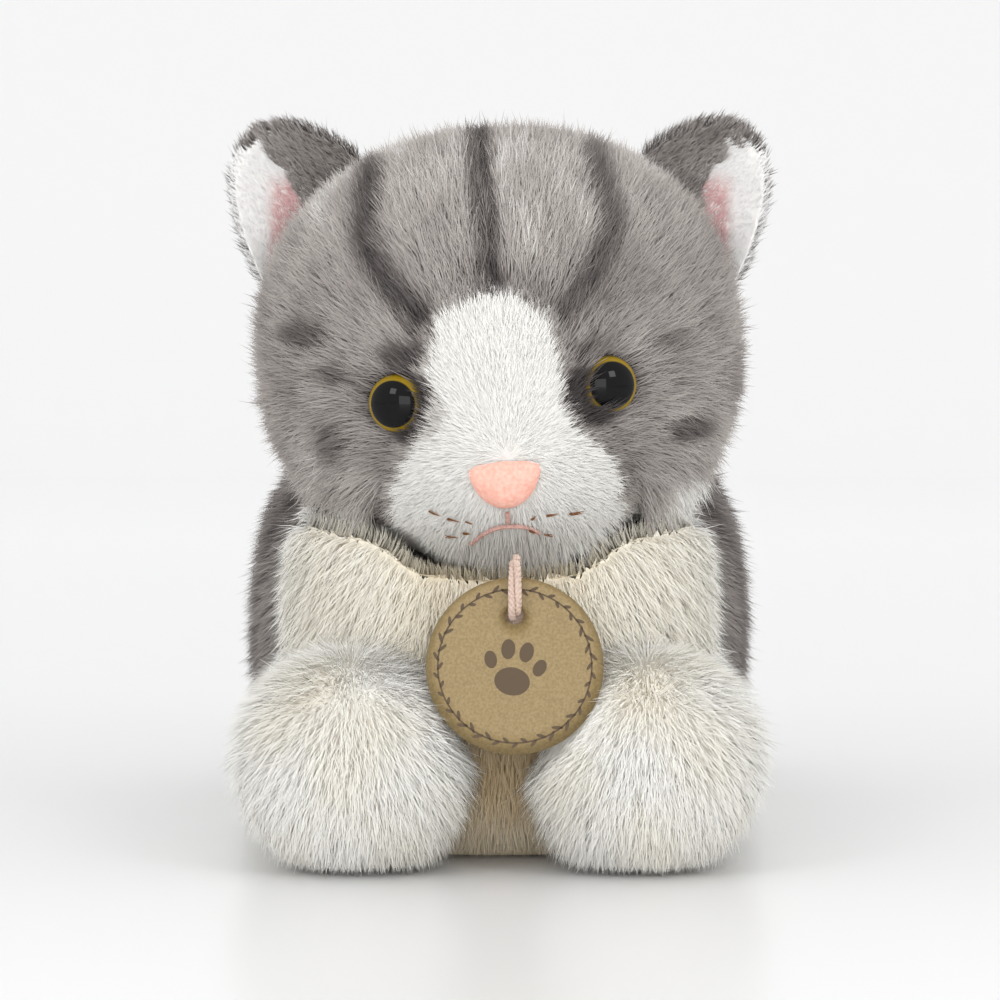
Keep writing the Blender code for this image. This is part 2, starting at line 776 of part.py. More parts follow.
def make_gusset(slots, neck):
    """The neck piece: a round patch of a ball about the head's centre, between head and torso."""
    outer = SEAT_RADIUS - GAP

    def point(u, v, depth):
        angle = GUSSET_HALF_ANGLE * u
        way = Vector((sin(angle) * cos(v), sin(angle) * sin(v), -cos(angle)))
        way.rotate(Matrix.Rotation(GUSSET_LEAN, 3, "X"))
        return way * (outer - depth * GUSSET_WALL / WALL)

    bm = patch_cap(point, steps(0.0, 1.0, 3), steps(0.0, 2.0 * pi, 20))
    finish_mesh(bm, "neck_gusset", slots["white_plush"], neck)


def make_closing_seam(slots, body):
    """The ladder stitch that closes the back, low on the rump."""
    points = []
    for i, around in enumerate(steps(radians(-128.0), radians(-158.0), 8)):
        y = 0.084 + (0.0014 if i % 2 else -0.0014)
        place = torso_point(y, around, -THREAD_RADIUS - 3.0 * GAP)
        points.append(place)
    tube("closing_seam", points, THREAD_RADIUS, slots["thread"], body)


def make_label(slots, body):
    """A blank care label sewn into the side seam by the rump, on the kitten's right."""
    around = pi - SIDE_SEAM_ANGLE
    anchor = torso_point(0.090, around, 0.0) + Vector((-0.0045, 0.0060, 0.0))
    bm = bmesh.new()
    drop = Vector((0.0, 0.0, -LABEL_SIZE.z / 2.0))
    size = Matrix.Diagonal((*LABEL_SIZE, 1.0))
    turn = Matrix.Rotation(radians(-52.0), 4, "Z")
    bmesh.ops.create_cube(bm, size=1.0, matrix=Matrix.Translation(anchor + drop) @ turn @ size)
    finish_mesh(bm, "care_label", slots["label"], body, smooth=False)


# ---------------------------------------------------------------- legs and tail


def leg_rings(side, depth, columns=18):
    """Rings of a front leg from its open root to the tip of its paw, about its shoulder."""
    radius = SHOULDER_RADIUS
    tip = FRONT_REACH + SHOULDER.y
    paw_centre = tip - PAW_RADIUS * 0.92
    rings = []

    def ring(forward, wide, high, lift):
        made = []
        for j in range(columns):
            a = 2.0 * pi * j / columns
            x = wide * cos(a)
            z = max(high * sin(a) + lift, depth - SHOULDER.z)
            made.append(Vector((side * x, -forward, z)))
        rings.append(made)

    for a in (radians(-48.0), radians(-24.0), 0.0):
        size = (radius - depth) * cos(a)
        ring((radius - depth if a < radians(-40.0) else radius) * sin(a), size, size, 0.0)
    waist = paw_centre * 0.45
    ring(waist, radius * 0.955 - depth, radius * 0.97 - depth, -0.0005)
    for a in (radians(-25.0), 0.0, radians(26.0), radians(48.0), radians(66.0), radians(80.0)):
        size = (PAW_RADIUS - depth) * cos(a) ** 0.94
        ring(paw_centre + (PAW_RADIUS * 0.92 - depth) * sin(a), size, size, 0.0)
    return rings


def make_front_leg(name, side, slots):
    place = Vector((side * SHOULDER.x, SHOULDER.y, SHOULDER.z))
    root = pivot(f"{name}_shoulder_pivot", place)
    outer = leg_rings(side, 0.0)
    inner = leg_rings(side, WALL)
    for a, b in zip(outer[0], inner[0]):
        b.y = a.y
    finish_mesh(sock_solid(outer, inner), f"{name}_front_leg_skin", slots["white_plush"], root)
    core = leg_rings(side, WALL + FILL_GAP)
    for p in core[0]:
        p.y = outer[0][0].y
    finish_mesh(loft_solid(core), f"{name}_front_leg_filling", slots["filling"], root)


def haunch_rings(side, depth, columns=22):
    """Rings of the thigh's dome, from its flat open side outward, about the hip."""
    rings = []
    half_y, half_z = HAUNCH_LENGTH / 2.0, HAUNCH_HEIGHT / 2.0
    for a in (0.0, radians(22.0), radians(44.0), radians(64.0), radians(82.0)):
        size = cos(a) ** 0.9
        made = []
        for j in range(columns):
            turn = 2.0 * pi * j / columns
            y = (half_y - depth) * size * cos(turn)
            z = (half_z - depth) * size * sin(turn)
            floor = depth - HIP.z
            made.append(Vector((side * (HAUNCH_OUT - depth) * sin(a), y, max(z - 0.003, floor))))
        rings.append(made)
    return rings


def foot_rings(side, depth, columns=12):
    """Rings of the hind foot from its heel to its toes, about the hip."""
    centre = Vector((0.0130, 0.0, FOOT_RADIUS - HIP.z))
    heel = FOOT_HEEL_Y - HIP.y
    tip = FOOT_TIP_Y - HIP.y
    rings = []
    for a in (-1.0, -0.9, -0.55, 0.0):
        along = heel - (heel - tip) * 0.30 * (1.0 + a)
        rings.append((along, 0.80 + 0.20 * sqrt(max(0.0, 1.0 - a * a))))
    for a in (radians(0.0), radians(25.0), radians(48.0), radians(66.0), radians(80.0)):
        rings.append((tip + FOOT_RADIUS - (FOOT_RADIUS - depth) * sin(a), cos(a) ** 0.9))
    made = []
    for along, size in rings:
        ring = []
        for j in range(columns):
            turn = 2.0 * pi * j / columns
            x = centre.x + (FOOT_RADIUS * 0.78 - depth) * size * cos(turn)
            z = centre.z + (FOOT_RADIUS - depth) * size * sin(turn)
            ring.append(Vector((side * x, along, z)))
        made.append(ring)
    return made


def make_hind_leg(name, side, slots):
    place = Vector((side * HIP.x, HIP.y, HIP.z))
    root = pivot(f"{name}_hip_pivot", place)
    haunch = finish_mesh(
        sock_solid(haunch_rings(side, 0.0), haunch_rings(side, WALL)),
        f"{name}_haunch_skin", slots["grey_plush"], root,
    )
    pad = finish_mesh(
        loft_solid(haunch_rings(side, WALL + FILL_GAP)), f"{name}_haunch_filling", slots["filling"], root
    )
    finish_mesh(
        sock_solid(foot_rings(side, 0.0), foot_rings(side, THIN_WALL)),
        f"{name}_hind_foot_skin", slots["white_plush"], root,
    )
    finish_mesh(
        loft_solid(foot_rings(side, THIN_WALL + FILL_GAP)),
        f"{name}_hind_foot_filling", slots["filling"], root,
    )
    room = cutter(loft_solid(foot_rings(side, -GAP)), f"{name}_foot_room", root)
    cut(haunch, room)
    cut(pad, room)


def make_tail(slots):
    root = pivot("tail_pivot", TAIL_ROOT)
    route = [p - TAIL_ROOT for p in smooth_route(TAIL_ROUTE, 2)]

    def rings(depth):
        made = []
        for i, place in enumerate(route):
            ahead = route[min(i + 1, len(route) - 1)] - route[max(i - 1, 0)]
            ahead.normalize()
            across = ahead.cross(Vector((0.0, 0.0, 1.0))).normalized()
            up = across.cross(ahead)
            along = i / (len(route) - 1)
            round_end = sqrt(max(0.03, 1.0 - max(0.0, (along - 0.88) / 0.12) ** 2))
            radius = (TAIL_RADIUS - depth) * round_end
            made.append(
                [place + across * (radius * cos(a)) + up * (radius * sin(a))
                 for a in steps(0.0, 2.0 * pi, 12)[:-1]]
            )
        return made

    outer, inner, core = rings(0.0), rings(THIN_WALL), rings(THIN_WALL + FILL_GAP)
    for layer in (inner, core):
        shrink = layer[-1]
        middle = sum(shrink, Vector()) / len(shrink)
        back = (route[-1] - route[-2]).normalized() * THIN_WALL
        layer[-1] = [middle - back + (p - middle) for p in shrink]
    finish_mesh(sock_solid(outer, inner), "tail_skin", slots["grey_plush"], root)
    finish_mesh(loft_solid(core), "tail_filling", slots["filling"], root)


# ---------------------------------------------------------------- swing tag


def paw_front(x, z):
    """How far ahead a paw reaches at x and z, or None beside it."""
    beside = sqrt((abs(x) - SHOULDER.x) ** 2 + (z - SHOULDER.z) ** 2)
    if beside >= PAW_RADIUS:
        return None
    return FRONT_REACH - PAW_RADIUS + sqrt(PAW_RADIUS ** 2 - beside ** 2)


def tag_frame():
    """Place of the tag: it leans back, clear of both paws and with room for the knot behind it."""
    drop = TAG_RADIUS - TAG_HOLE_INSET
    height = TAG_HOLE_HEIGHT - drop * cos(TAG_LEAN)
    ahead = -CHEST_Y + 6.0 * KNOT_RADIUS
    for turn in steps(0.0, 2.0 * pi, 48)[:-1]:
        for share in (0.6, 0.8, 1.0):
            up = share * TAG_RADIUS * sin(turn)
            reach = paw_front(TAG_SIDE + share * TAG_RADIUS * cos(turn), height + up * cos(TAG_LEAN))
            if reach is not None:
                ahead = max(ahead, reach + TAG_CLEARANCE + TAG_THICKNESS / 2.0 + up * sin(TAG_LEAN))
    centre = Vector((TAG_SIDE, -ahead, height))
    return Matrix.Translation(centre) @ Matrix.Rotation(-TAG_LEAN, 4, "X")


def make_tag(slots):
    """A disc with a punched hole, on a doubled cord from the chest's top seam, with a knot behind."""
    hole_z = TAG_RADIUS - TAG_HOLE_INSET
    frame = tag_frame()
    exit_point = Vector((TAG_SIDE, CHEST_Y + 0.0005, CORD_EXIT_HEIGHT))
    root = pivot("tag_pivot", exit_point)
    shift = Matrix.Translation(-exit_point)

    def disc(u, v, depth):
        inner = Vector((TAG_HOLE_RADIUS * cos(v), 0.0, hole_z + TAG_HOLE_RADIUS * sin(v)))
        outer = Vector((TAG_RADIUS * cos(v), 0.0, TAG_RADIUS * sin(v)))
        place = inner.lerp(outer, u)
        return place + Vector((0.0, depth - TAG_THICKNESS / 2.0, 0.0))

    bm = patch_solid(disc, steps(0.0, 1.0, 1), steps(0.0, 2.0 * pi, 36), TAG_THICKNESS, wrap=True)
    bm.transform(shift @ frame)
    finish_mesh(bm, "swing_tag", slots["tag"], root)

    hole = shift @ frame @ Vector((0.0, 0.0, hole_z))
    through = (frame.to_3x3() @ Vector((0.0, 1.0, 0.0))).normalized()
    reach = TAG_THICKNESS / 2.0
    rim = (frame.to_3x3() @ Vector((0.0, 0.0, 1.0))).normalized()
    route = [
        Vector((0.0, -0.0012, 0.0)),
        Vector((0.0, -0.0055, 0.0040)),
        hole + rim * (TAG_HOLE_INSET + 0.0042) + through * 0.0022,
        hole + rim * (TAG_HOLE_INSET + 0.0036) - through * 0.0034,
        hole + rim * 0.0062 - through * 0.0046,
        hole + rim * 0.0014 - through * 0.0034,
        hole + through * (reach + 0.0004),
    ]
    tube("tag_cord", smooth_route(route, 3), CORD_RADIUS, slots["cord"], root)
    knot = ball(KNOT_RADIUS, Vector(), 10, 6, (1.0, 0.8, 1.0))
    knot.transform(Matrix.Translation(hole + through * (reach + 0.0004 + GAP + KNOT_RADIUS * 0.8)))
    finish_mesh(knot, "cord_knot", slots["cord"], root)


def build():
    clear_scene()
    slots = make_materials()
    body = pivot("torso_centre", (0.0, 0.0, 0.0))
    head = pivot("head_pivot", HEAD_CENTRE, (0.0, -HEAD_TILT, 0.0))
    neck = pivot("neck_pivot", HEAD_CENTRE)

    skins = make_head_skins(slots, head)
    filling = make_head_filling(slots, head)
    make_eyes(slots, head, skins, filling)
    make_nose(slots, head)
    make_mouth(slots, head)
    for name, side in (("left", 1.0), ("right", -1.0)):
        make_ear(name, side, slots, head)
        make_front_leg(name, side, slots)
        make_hind_leg(name, side, slots)

    chest, back, belly, stuffing = make_torso(slots, body)
    cut_torso(chest, back, belly, stuffing, body)
    make_pouch(slots, body)
    make_gusset(slots, neck)
    make_closing_seam(slots, body)
    make_label(slots, body)
    make_tail(slots)
    make_tag(slots)


build()
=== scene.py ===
"""Looks of the plush kitten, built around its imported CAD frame. Lengths are in metres.

The kitten faces -Y and its own left side is at +X. Its plush is made of tapered fibres that are rooted
on base skins. A fibre's UV is a place on a palette: u is its shade and v runs from its root to its tip.
"""

import json
from math import cos, pi, radians, sin

import bpy
import numpy as np
from mathutils import Matrix, Vector
from mathutils.kdtree import KDTree


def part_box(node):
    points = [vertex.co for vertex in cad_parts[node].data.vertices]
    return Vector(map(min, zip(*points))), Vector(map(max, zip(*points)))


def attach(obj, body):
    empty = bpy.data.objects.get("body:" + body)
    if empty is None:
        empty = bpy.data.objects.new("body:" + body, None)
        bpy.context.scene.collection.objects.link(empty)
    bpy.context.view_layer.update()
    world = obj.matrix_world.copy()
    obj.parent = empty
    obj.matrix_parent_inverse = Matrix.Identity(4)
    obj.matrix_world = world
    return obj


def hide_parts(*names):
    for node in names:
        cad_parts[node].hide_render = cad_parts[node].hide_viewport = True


SEED = 7
MM = 0.001

# Fur
SKIN_DEPTH = 0.8 * MM          # base skin below the CAD surface
FILLING_DEPTH = 4.3 * MM
FIBRE_WIDTH = 0.27 * MM
FIBRES_PER_M2 = 2.6e6
FIBRES_PER_CLUMP = 16
FLOOR_CLEARANCE = 0.4 * MM

# Palette places, from 0 to 1. The last place is painted shade: the brown shadow between the front legs,
# under the chest.
BROWN, DARK, SMOKE, GREY, PALE, WHITE, CREAM, PAINTED_GAP_SHADE = 0.02, 0.10, 0.30, 0.48, 0.62, 0.76, 0.88, 0.98

# Head
HEAD_HALF = np.array((0.063, 0.056, 0.057))
HEAD_SQUARENESS = 2.2
HEAD_TURN = np.array(Matrix.Rotation(radians(-5.0), 3, "Y"))     # its tilt
MUZZLE_REACH = 0.013
MUZZLE_WAY = np.array((0.0, -cos(radians(31.0)), -sin(radians(31.0))))
MUZZLE_SPREAD = radians(21.0)
EYE_X, EYE_Z = 0.0275, -0.010
EYE_RADIUS, EYE_DOME, EYE_TURN = 0.0077, 0.0050, radians(20.0)
SEAT_RADIUS = 0.0652
CHIN_CLEARANCE, CHIN_EXTRA, CHIN_PUFF = 0.0018, 0.0064, 0.0040
PUPIL_SHARE = 0.80
NOSE_X = -0.0012
NOSE_Z, NOSE_WIDTH, NOSE_HEIGHT, NOSE_THICKNESS = -0.033, 0.0200, 0.0125, 0.0042
MOUTH = ((-0.0115, -0.0478), (-0.0080, -0.0452), (-0.0045, -0.0438),
         (-0.0010, -0.0436), (0.0030, -0.0442), (0.0062, -0.0462))
PHILTRUM = ((-0.0014, -0.0398), (-0.0014, -0.0424))
THREADS_PER_STITCH = 9

# Ears
EAR_HEIGHT, EAR_CUP, EAR_SETBACK, EAR_LIFT = 0.0230, 0.0070, 0.004, 0.0022
EAR_INNER, EAR_OUTER = radians(53.0), radians(15.0)
EAR_LEVEL, EAR_SPLAY = radians(5.0), radians(38.0)
EAR_END = radians(86.0)
EAR_FRONT = 0.42               # share of the way round the ear's skin that is its front

# Torso
CHEST_Y, RUMP_Y = -0.099, 0.100
TORSO_HALF_WIDTH, SHOULDER_EXTRA, TORSO_HEIGHT = 0.0496, 0.0060, 0.110
TORSO_SQUARENESS = 3.5
CHEST_SEAM_Y = -0.050

# Limbs
SHOULDER_RADIUS, PAW_RADIUS, FRONT_REACH, LEG_PINCH = 0.0273, 0.0275, 0.130, 0.045
HAUNCH_OUT, HAUNCH_LENGTH, HAUNCH_HEIGHT = 0.0180, 0.086, 0.096
FOOT_RADIUS, FOOT_OUT, FOOT_TIP_Y, FOOT_HEEL_Y = 0.0125, 0.0130, -0.014, 0.036
TAIL_RADIUS = 0.0105
TAIL_ROUTE = ((0.000, 0.0985, 0.044), (0.003, 0.108, 0.035), (0.011, 0.116, 0.022), (0.024, 0.119, 0.013),
              (0.039, 0.117, 0.0108), (0.052, 0.110, 0.0108), (0.062, 0.099, 0.0108))

SIDES = ("left", 1.0), ("right", -1.0)

# Swing tag
TAG_RADIUS, TAG_THICKNESS, TAG_LEAN = 0.0225, 0.0014, radians(10.0)
TAG_HOLE_RADIUS, TAG_HOLE_INSET = 0.0026, 0.0095
LEAVES = 52                    # in the wreath

# Camera
CAMERA_DISTANCE = 1.20
CAMERA_ELEVATION = radians(4.0)
CAMERA_TARGET = Vector((0.0002, -0.1024, 0.0964))
CAMERA_LENS = 166.1


# ---- numbers


def vec(*parts):
    """Points from their coordinates, each an array or one number."""
    return np.stack(np.broadcast_arrays(*parts), -1)


def ring(count):
    """Angles once round, as a row."""
    return np.linspace(0.0, 2.0 * pi, count)[None, :]


def norm(v):
    return np.linalg.norm(v, axis=-1)


def dot(a, b):
    return (a * b).sum(-1)


def unit(v):
    return v / np.maximum(norm(v)[..., None], 1e-9)


def ease(x, low, high):
    t = np.clip((x - low) / (high - low), 0.0, 1.0)
    return t * t * (3.0 - 2.0 * t)


def blob(x, z, centre, width, height):
    """1 at the centre of a soft oval and 0 outside it."""
    away = np.hypot((x - centre[0]) / width, (z - centre[1]) / height)
    return 1.0 - ease(away, 0.45, 1.15)


def from_line(x, z, line):
    """Distance of each point to a line of corners."""
    best = np.full(len(x), np.inf)
    for (ax, az), (bx, bz) in zip(line, line[1:]):
        dx, dz = bx - ax, bz - az
        t = np.clip(((x - ax) * dx + (z - az) * dz) / (dx * dx + dz * dz), 0.0, 1.0)
        best = np.minimum(best, np.hypot(x - ax - t * dx, z - az - t * dz))
    return best


def waves(points, length, seed):
    """Smooth noise, mostly between -1 and 1, of about the given wavelength."""
    rng = np.random.default_rng(seed)
    total = np.zeros(len(points))
    for _ in range(6):
        way = unit(rng.normal(size=3))
        scale, start = 2.0 * pi / length * rng.uniform(0.6, 1.5), rng.uniform(0.0, 2.0 * pi)
        total += np.sin(points @ way * scale + start)
    return total / 2.6


def smooth_route(points, per_span):
    """A Catmull-Rom curve through the points."""
    knots = np.array(points, float)
    knots = np.vstack([2 * knots[0] - knots[1], knots, 2 * knots[-1] - knots[-2]])
    route = []
    for a, b, c, d in zip(knots, knots[1:], knots[2:], knots[3:]):
        for t in np.arange(per_span) / per_span:
            route.append(0.5 * (2 * b + (c - a) * t + (2 * a - 5 * b + 4 * c - d) * t * t
                                + (3 * b - a - 3 * c + d) * t ** 3))
    return np.array([*route, knots[-2]])


# ---- materials


def paint(red, green, blue):
    """A linear colour from a display colour of 0 to 255."""
    shown = np.array((red, green, blue)) / 255.0
    linear = np.where(shown <= 0.04045, shown / 12.92, ((shown + 0.055) / 1.055) ** 2.4)
    return (*(float(c) for c in linear), 1.0)


def add_node(tree, kind, **settings):
    node = tree.nodes.new("ShaderNode" + kind)
    for name, value in settings.items():
        setattr(node, name, value)
    return node


def new_material(name, roughness, colour=(204, 204, 204), specular=0.5):
    made = bpy.data.materials.new(name)
    made.use_nodes = True
    shader = made.node_tree.nodes["Principled BSDF"]
    shader.inputs["Base Color"].default_value = paint(*colour)
    shader.inputs["Roughness"].default_value = roughness
    shader.inputs["Specular IOR Level"].default_value = specular
    return made, made.node_tree, shader


def ramp(tree, stops, value, colour):
    """A colour ramp between two sockets; each stop is a place and a display colour."""
    node = add_node(tree, "ValToRGB")
    elements = node.color_ramp.elements
    for element, (place, shade) in zip(elements, (stops[0], stops[-1])):
        element.position = place
        element.color = paint(*shade)
    for place, shade in stops[1:-1]:
        elements.new(place).color = paint(*shade)
    tree.links.new(value, node.inputs["Fac"])
    tree.links.new(node.outputs["Color"], colour)


def coloured(sockets, name):
    """The colour socket of this name: a Mix node has one for each kind of value."""
    return next(s for s in sockets if s.name == name and s.type == "RGBA")


def palette_material(name, stops):
    """Fibres: each stop is a place, a colour at the root and one at the tip, mixed along the fibre."""
    made, tree, shader = new_material(name, 0.9, specular=0.15)
    place = add_node(tree, "UVMap", uv_map="OFBake")
    split = add_node(tree, "SeparateXYZ")
    mix = add_node(tree, "Mix", data_type="RGBA")
    tree.links.new(place.outputs["UV"], split.inputs["Vector"])
    for column, socket in ((1, "A"), (2, "B")):
        shades = [(stop[0], stop[column]) for stop in stops]
        ramp(tree, shades, split.outputs["X"], coloured(mix.inputs, socket))
    tree.links.new(split.outputs["Y"], mix.inputs["Factor"])
    tree.links.new(coloured(mix.outputs, "Result"), shader.inputs["Base Color"])
    return made


def fur_material():
    # Each root colour is darker than its tip: painted shade deep in the pile.
    return palette_material("plush_fibres", (
        (BROWN, (120, 80, 50), (140, 95, 62)), (DARK, (44, 41, 41), (80, 76, 75)),
        (SMOKE, (78, 73, 72), (134, 127, 124)), (GREY, (112, 106, 103), (184, 177, 172)),
        (PALE, (150, 144, 139), (208, 202, 196)), (WHITE, (246, 245, 241), (253, 253, 250)),
        # The last stop's colours are painted shade: the brown shadow between the front legs.
        (CREAM, (240, 231, 210), (249, 244, 230)), (PAINTED_GAP_SHADE, (176, 152, 116), (206, 184, 146))))


def lining_material():
    # Each root colour is darker than its tip: painted shade deep in the pile.
    return palette_material("ear_lining_fibres", (
        (0.0, (214, 164, 164), (230, 188, 188)), (0.5, (236, 220, 218), (244, 234, 232)),
        (1.0, (246, 245, 244), (253, 252, 252))))


def noise_material(name, low, high, scale, roughness):
    """A plain stuff whose colour varies a little."""
    made, tree, shader = new_material(name, roughness)
    where = add_node(tree, "TexCoord")
    noise = add_node(tree, "TexNoise")
    noise.inputs["Scale"].default_value = scale
    noise.inputs["Detail"].default_value = 4.0
    tree.links.new(where.outputs["Object"], noise.inputs["Vector"])
    ramp(tree, ((0.35, low), (0.65, high)), noise.outputs["Fac"], shader.inputs["Base Color"])
    return made


def eye_material(name, centre, axis):
    """Glossy plastic: a black pupil in an olive ring, by distance from the eye's own axis."""
    made, tree, shader = new_material(name, 0.04, specular=0.17)
    socket = add_node(tree, "TexCoord").outputs["Object"]
    for operation, value in (("SUBTRACT", centre), ("CROSS_PRODUCT", axis), ("LENGTH", None)):
        node = add_node(tree, "VectorMath", operation=operation)
        if value is not None:
            node.inputs[1].default_value = value
        tree.links.new(socket, node.inputs[0])
        socket = node.outputs["Vector" if value is not None else "Value"]
    scale = add_node(tree, "Math", operation="DIVIDE")
    scale.inputs[1].default_value = EYE_RADIUS
    tree.links.new(socket, scale.inputs[0])
    black, olive, brown = (10, 10, 11), (142, 116, 20), (60, 48, 14)
    stops = ((0.0, black), (PUPIL_SHARE - 0.02, black), (PUPIL_SHARE + 0.02, olive),
             (0.92, olive), (1.0, brown))
    ramp(tree, stops, scale.outputs["Value"], shader.inputs["Base Color"])
    return made


# ---- meshes


def link(obj, body, material, slot, stands_for=()):
    """Put a piece on its body."""
    bpy.context.scene.collection.objects.link(obj)
    obj.data.materials.append(material)
    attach(obj, body)
    if stands_for:
        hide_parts(*stands_for)
    return obj


def triangle_mesh(name, points, triangles, uv=None, normals=None):
    mesh = bpy.data.meshes.new(name)
    mesh.vertices.add(len(points))
    mesh.vertices.foreach_set("co", points.astype(np.float32).ravel())
    mesh.loops.add(triangles.size)
    mesh.loops.foreach_set("vertex_index", triangles.astype(np.int32).ravel())
    mesh.polygons.add(len(triangles))
    mesh.polygons.foreach_set("loop_start", np.arange(len(triangles), dtype=np.int32) * 3)
    mesh.update(calc_edges=True)
    mesh.shade_smooth()
    if uv is not None:
        layer = mesh.uv_layers.new(name="OFBake")
        layer.data.foreach_set("uv", uv[triangles.ravel()].astype(np.float32).ravel())
    if normals is not None:
        mesh.normals_split_custom_set_from_vertices(normals)
    return bpy.data.objects.new(name, mesh)


def quads(rows, columns):
    """The triangles of a grid of points, two in each cell."""
    index = np.arange(rows * columns).reshape(rows, columns)
    a, b, c, d = index[:-1, :-1], index[1:, :-1], index[1:, 1:], index[:-1, 1:]
    return np.concatenate([vec(a, b, c).reshape(-1, 3), vec(a, c, d).reshape(-1, 3)])


def joined(shapes):
    """One list of points and one of triangles, from many shapes."""
    starts = np.cumsum([0] + [len(points) for points, _ in shapes])
    return (np.vstack([points for points, _ in shapes]),
            np.vstack([triangles + start for (_, triangles), start in zip(shapes, starts)]))


def grid_mesh(name, grid, uv=None, hole=None):
    """The surface through a grid of points, but not where hole says so."""
    triangles = quads(*grid.shape[:2])
    points = grid.reshape(-1, 3)
    corners = points[triangles]
    flat = norm(np.cross(corners[:, 1] - corners[:, 0], corners[:, 2] - corners[:, 0]))
    triangles = triangles[flat >= 1e-12]
    if hole is not None:
        triangles = triangles[~hole(points[triangles].mean(axis=1))]
    corners = points[triangles]
    if np.einsum("ij,ij->i", corners[:, 0], np.cross(corners[:, 1], corners[:, 2])).sum() < 0.0:
        triangles = triangles[:, ::-1]
    return triangle_mesh(name, points, triangles, uv)


def tube_grid(route, radius, sides=10):
    """Rings round a route; radius is one number or one for each point."""
    route = np.asarray(route, float)
    ahead = unit(np.gradient(route, axis=0))
    side = unit(np.cross(ahead, np.array((0.31, 0.17, 1.0))))
    up = np.cross(side, ahead)
    turn = np.linspace(0.0, 2.0 * pi, sides + 1)[None, :, None]
    size = np.broadcast_to(np.asarray(radius, float), (len(route),))[:, None, None]
    return route[:, None] + size * (side[:, None] * np.cos(turn) + up[:, None] * np.sin(turn))


class Patch:
    """A grid of points over a surface, with outward normals."""

    def __init__(self, grid, inside):
        self.grid = grid
        normals = unit(np.cross(np.gradient(grid, axis=0), np.gradient(grid, axis=1)))
        outward = unit(grid - inside)
        weak = norm(normals) < 0.5
        normals[weak] = outward[weak]
        if dot(normals, outward).mean() < 0.0:
            normals = -normals
        wrong = dot(normals, outward) < -0.5
        normals[wrong] = outward[wrong]
        self.normals = normals

    def scatter(self, density, rng):
        """Roots spread evenly: their points, normals and places on the grid from 0 to 1."""
        g = self.grid
        a, b, c, d = g[:-1, :-1], g[1:, :-1], g[1:, 1:], g[:-1, 1:]
        area = (norm(np.cross(b - a, d - a)) + norm(np.cross(b - c, d - c))) / 2.0
        count = int(area.sum() * (FIBRES_PER_M2 * density))
        cell = rng.choice(area.size, count, p=(area / area.sum()).ravel())
        i, j = np.divmod(cell, area.shape[1])
        u, v = rng.random((2, count))

        def mixed(values):
            s, t = u[:, None], v[:, None]
            near = values[i, j] * (1 - s) + values[i + 1, j] * s
            far = values[i, j + 1] * (1 - s) + values[i + 1, j + 1] * s
            return near * (1 - t) + far * t

        places = vec((i + u) / area.shape[0], (j + v) / area.shape[1])
        return mixed(g), unit(mixed(self.normals)), places


def clump(roots, tips, share, rng):
    """Draw each tip towards the tip of its clump's middle fibre."""
    middles = rng.choice(len(roots), max(1, len(roots) // FIBRES_PER_CLUMP), replace=False)
    tree = KDTree(len(middles))
    for k, m in enumerate(middles):
        tree.insert(roots[m], k)
    tree.balance()
    nearest = middles[[tree.find(p)[1] for p in roots]]
    return tips + (tips[nearest] - tips) * share


def fibres(name, roots, normals, comb, height, reach, shade, body, material, slot, rng, curl=0.25, width=1.0,
           tuft=0.45):
    """Tapered two-part ribbons. Height is up from the skin and reach is along the comb."""
    count = len(roots)
    comb = unit(comb - normals * dot(comb, normals)[:, None])
    comb = unit(comb + curl * rng.normal(size=(count, 3)))
    height = height * rng.uniform(0.72, 1.06, count)
    reach = reach * rng.uniform(0.7, 1.25, count)
    tips = roots + normals * height[:, None] + comb * reach[:, None]
    tips = clump(roots, tips, tuft * rng.random((count, 1)), rng)
    tips[:, 2] = np.maximum(tips[:, 2], FLOOR_CLEARANCE * rng.uniform(1.0, 3.0, count))
    middles = roots * 0.5 + tips * 0.5 + normals * (height * 0.16)[:, None] - comb * (reach * 0.12)[:, None]
    middles[:, 2] = np.maximum(middles[:, 2], FLOOR_CLEARANCE)
    along = unit(tips - roots)
    across = unit(np.cross(along, normals) + 1e-6)
    lift = np.cross(across, along)
    twist = rng.uniform(-0.6, 0.6, (count, 1))
    across = unit(across * np.cos(twist) + lift * np.sin(twist))
    half = across * (FIBRE_WIDTH * width / 2.0 * rng.uniform(0.75, 1.25, (count, 1)))
    points = np.stack([roots - half, roots + half, middles - half * 0.8, middles + half * 0.8, tips], 1)
    own = unit(np.cross(across, along))
    facing = dot(own, normals) < 0.0
    points[facing] = points[facing][:, [1, 0, 3, 2, 4]]
    own[facing] *= -1.0
    shading = unit(normals * 0.93 + own * 0.07)
    base = np.arange(count)[:, None] * 5
    triangles = np.concatenate([base + np.array([[0, 1, 3]]), base + np.array([[0, 3, 2]]),
                                base + np.array([[2, 3, 4]])], 1).reshape(-1, 3)
    u = np.clip(np.broadcast_to(shade, count), 0.006, 0.994)[:, None] + np.array([[-1, 1, -1, 1, 0]]) * 0.003
    v = np.broadcast_to(np.array([[0.02, 0.02, 0.5, 0.5, 0.98]]), (count, 5))
    uv = vec(u, v).reshape(-1, 2)
    obj = triangle_mesh(name, points.reshape(-1, 3), triangles, uv, np.repeat(shading, 5, axis=0))
    link(obj, body, material, slot)


def base_skin(name, patch, shade, body, material, slot, stands_for=(), hole=None):
    """The woven backing under the fibres, in the shade of their roots."""
    flat = patch.grid.reshape(-1, 3)
    # A v of 0.15 takes the darker root colours: painted shade deep in the pile.
    uv = vec(np.clip(shade(flat), 0.01, 0.99), 0.15)
    link(grid_mesh(name, patch.grid, uv, hole), body, material, slot, stands_for)


# ---- head


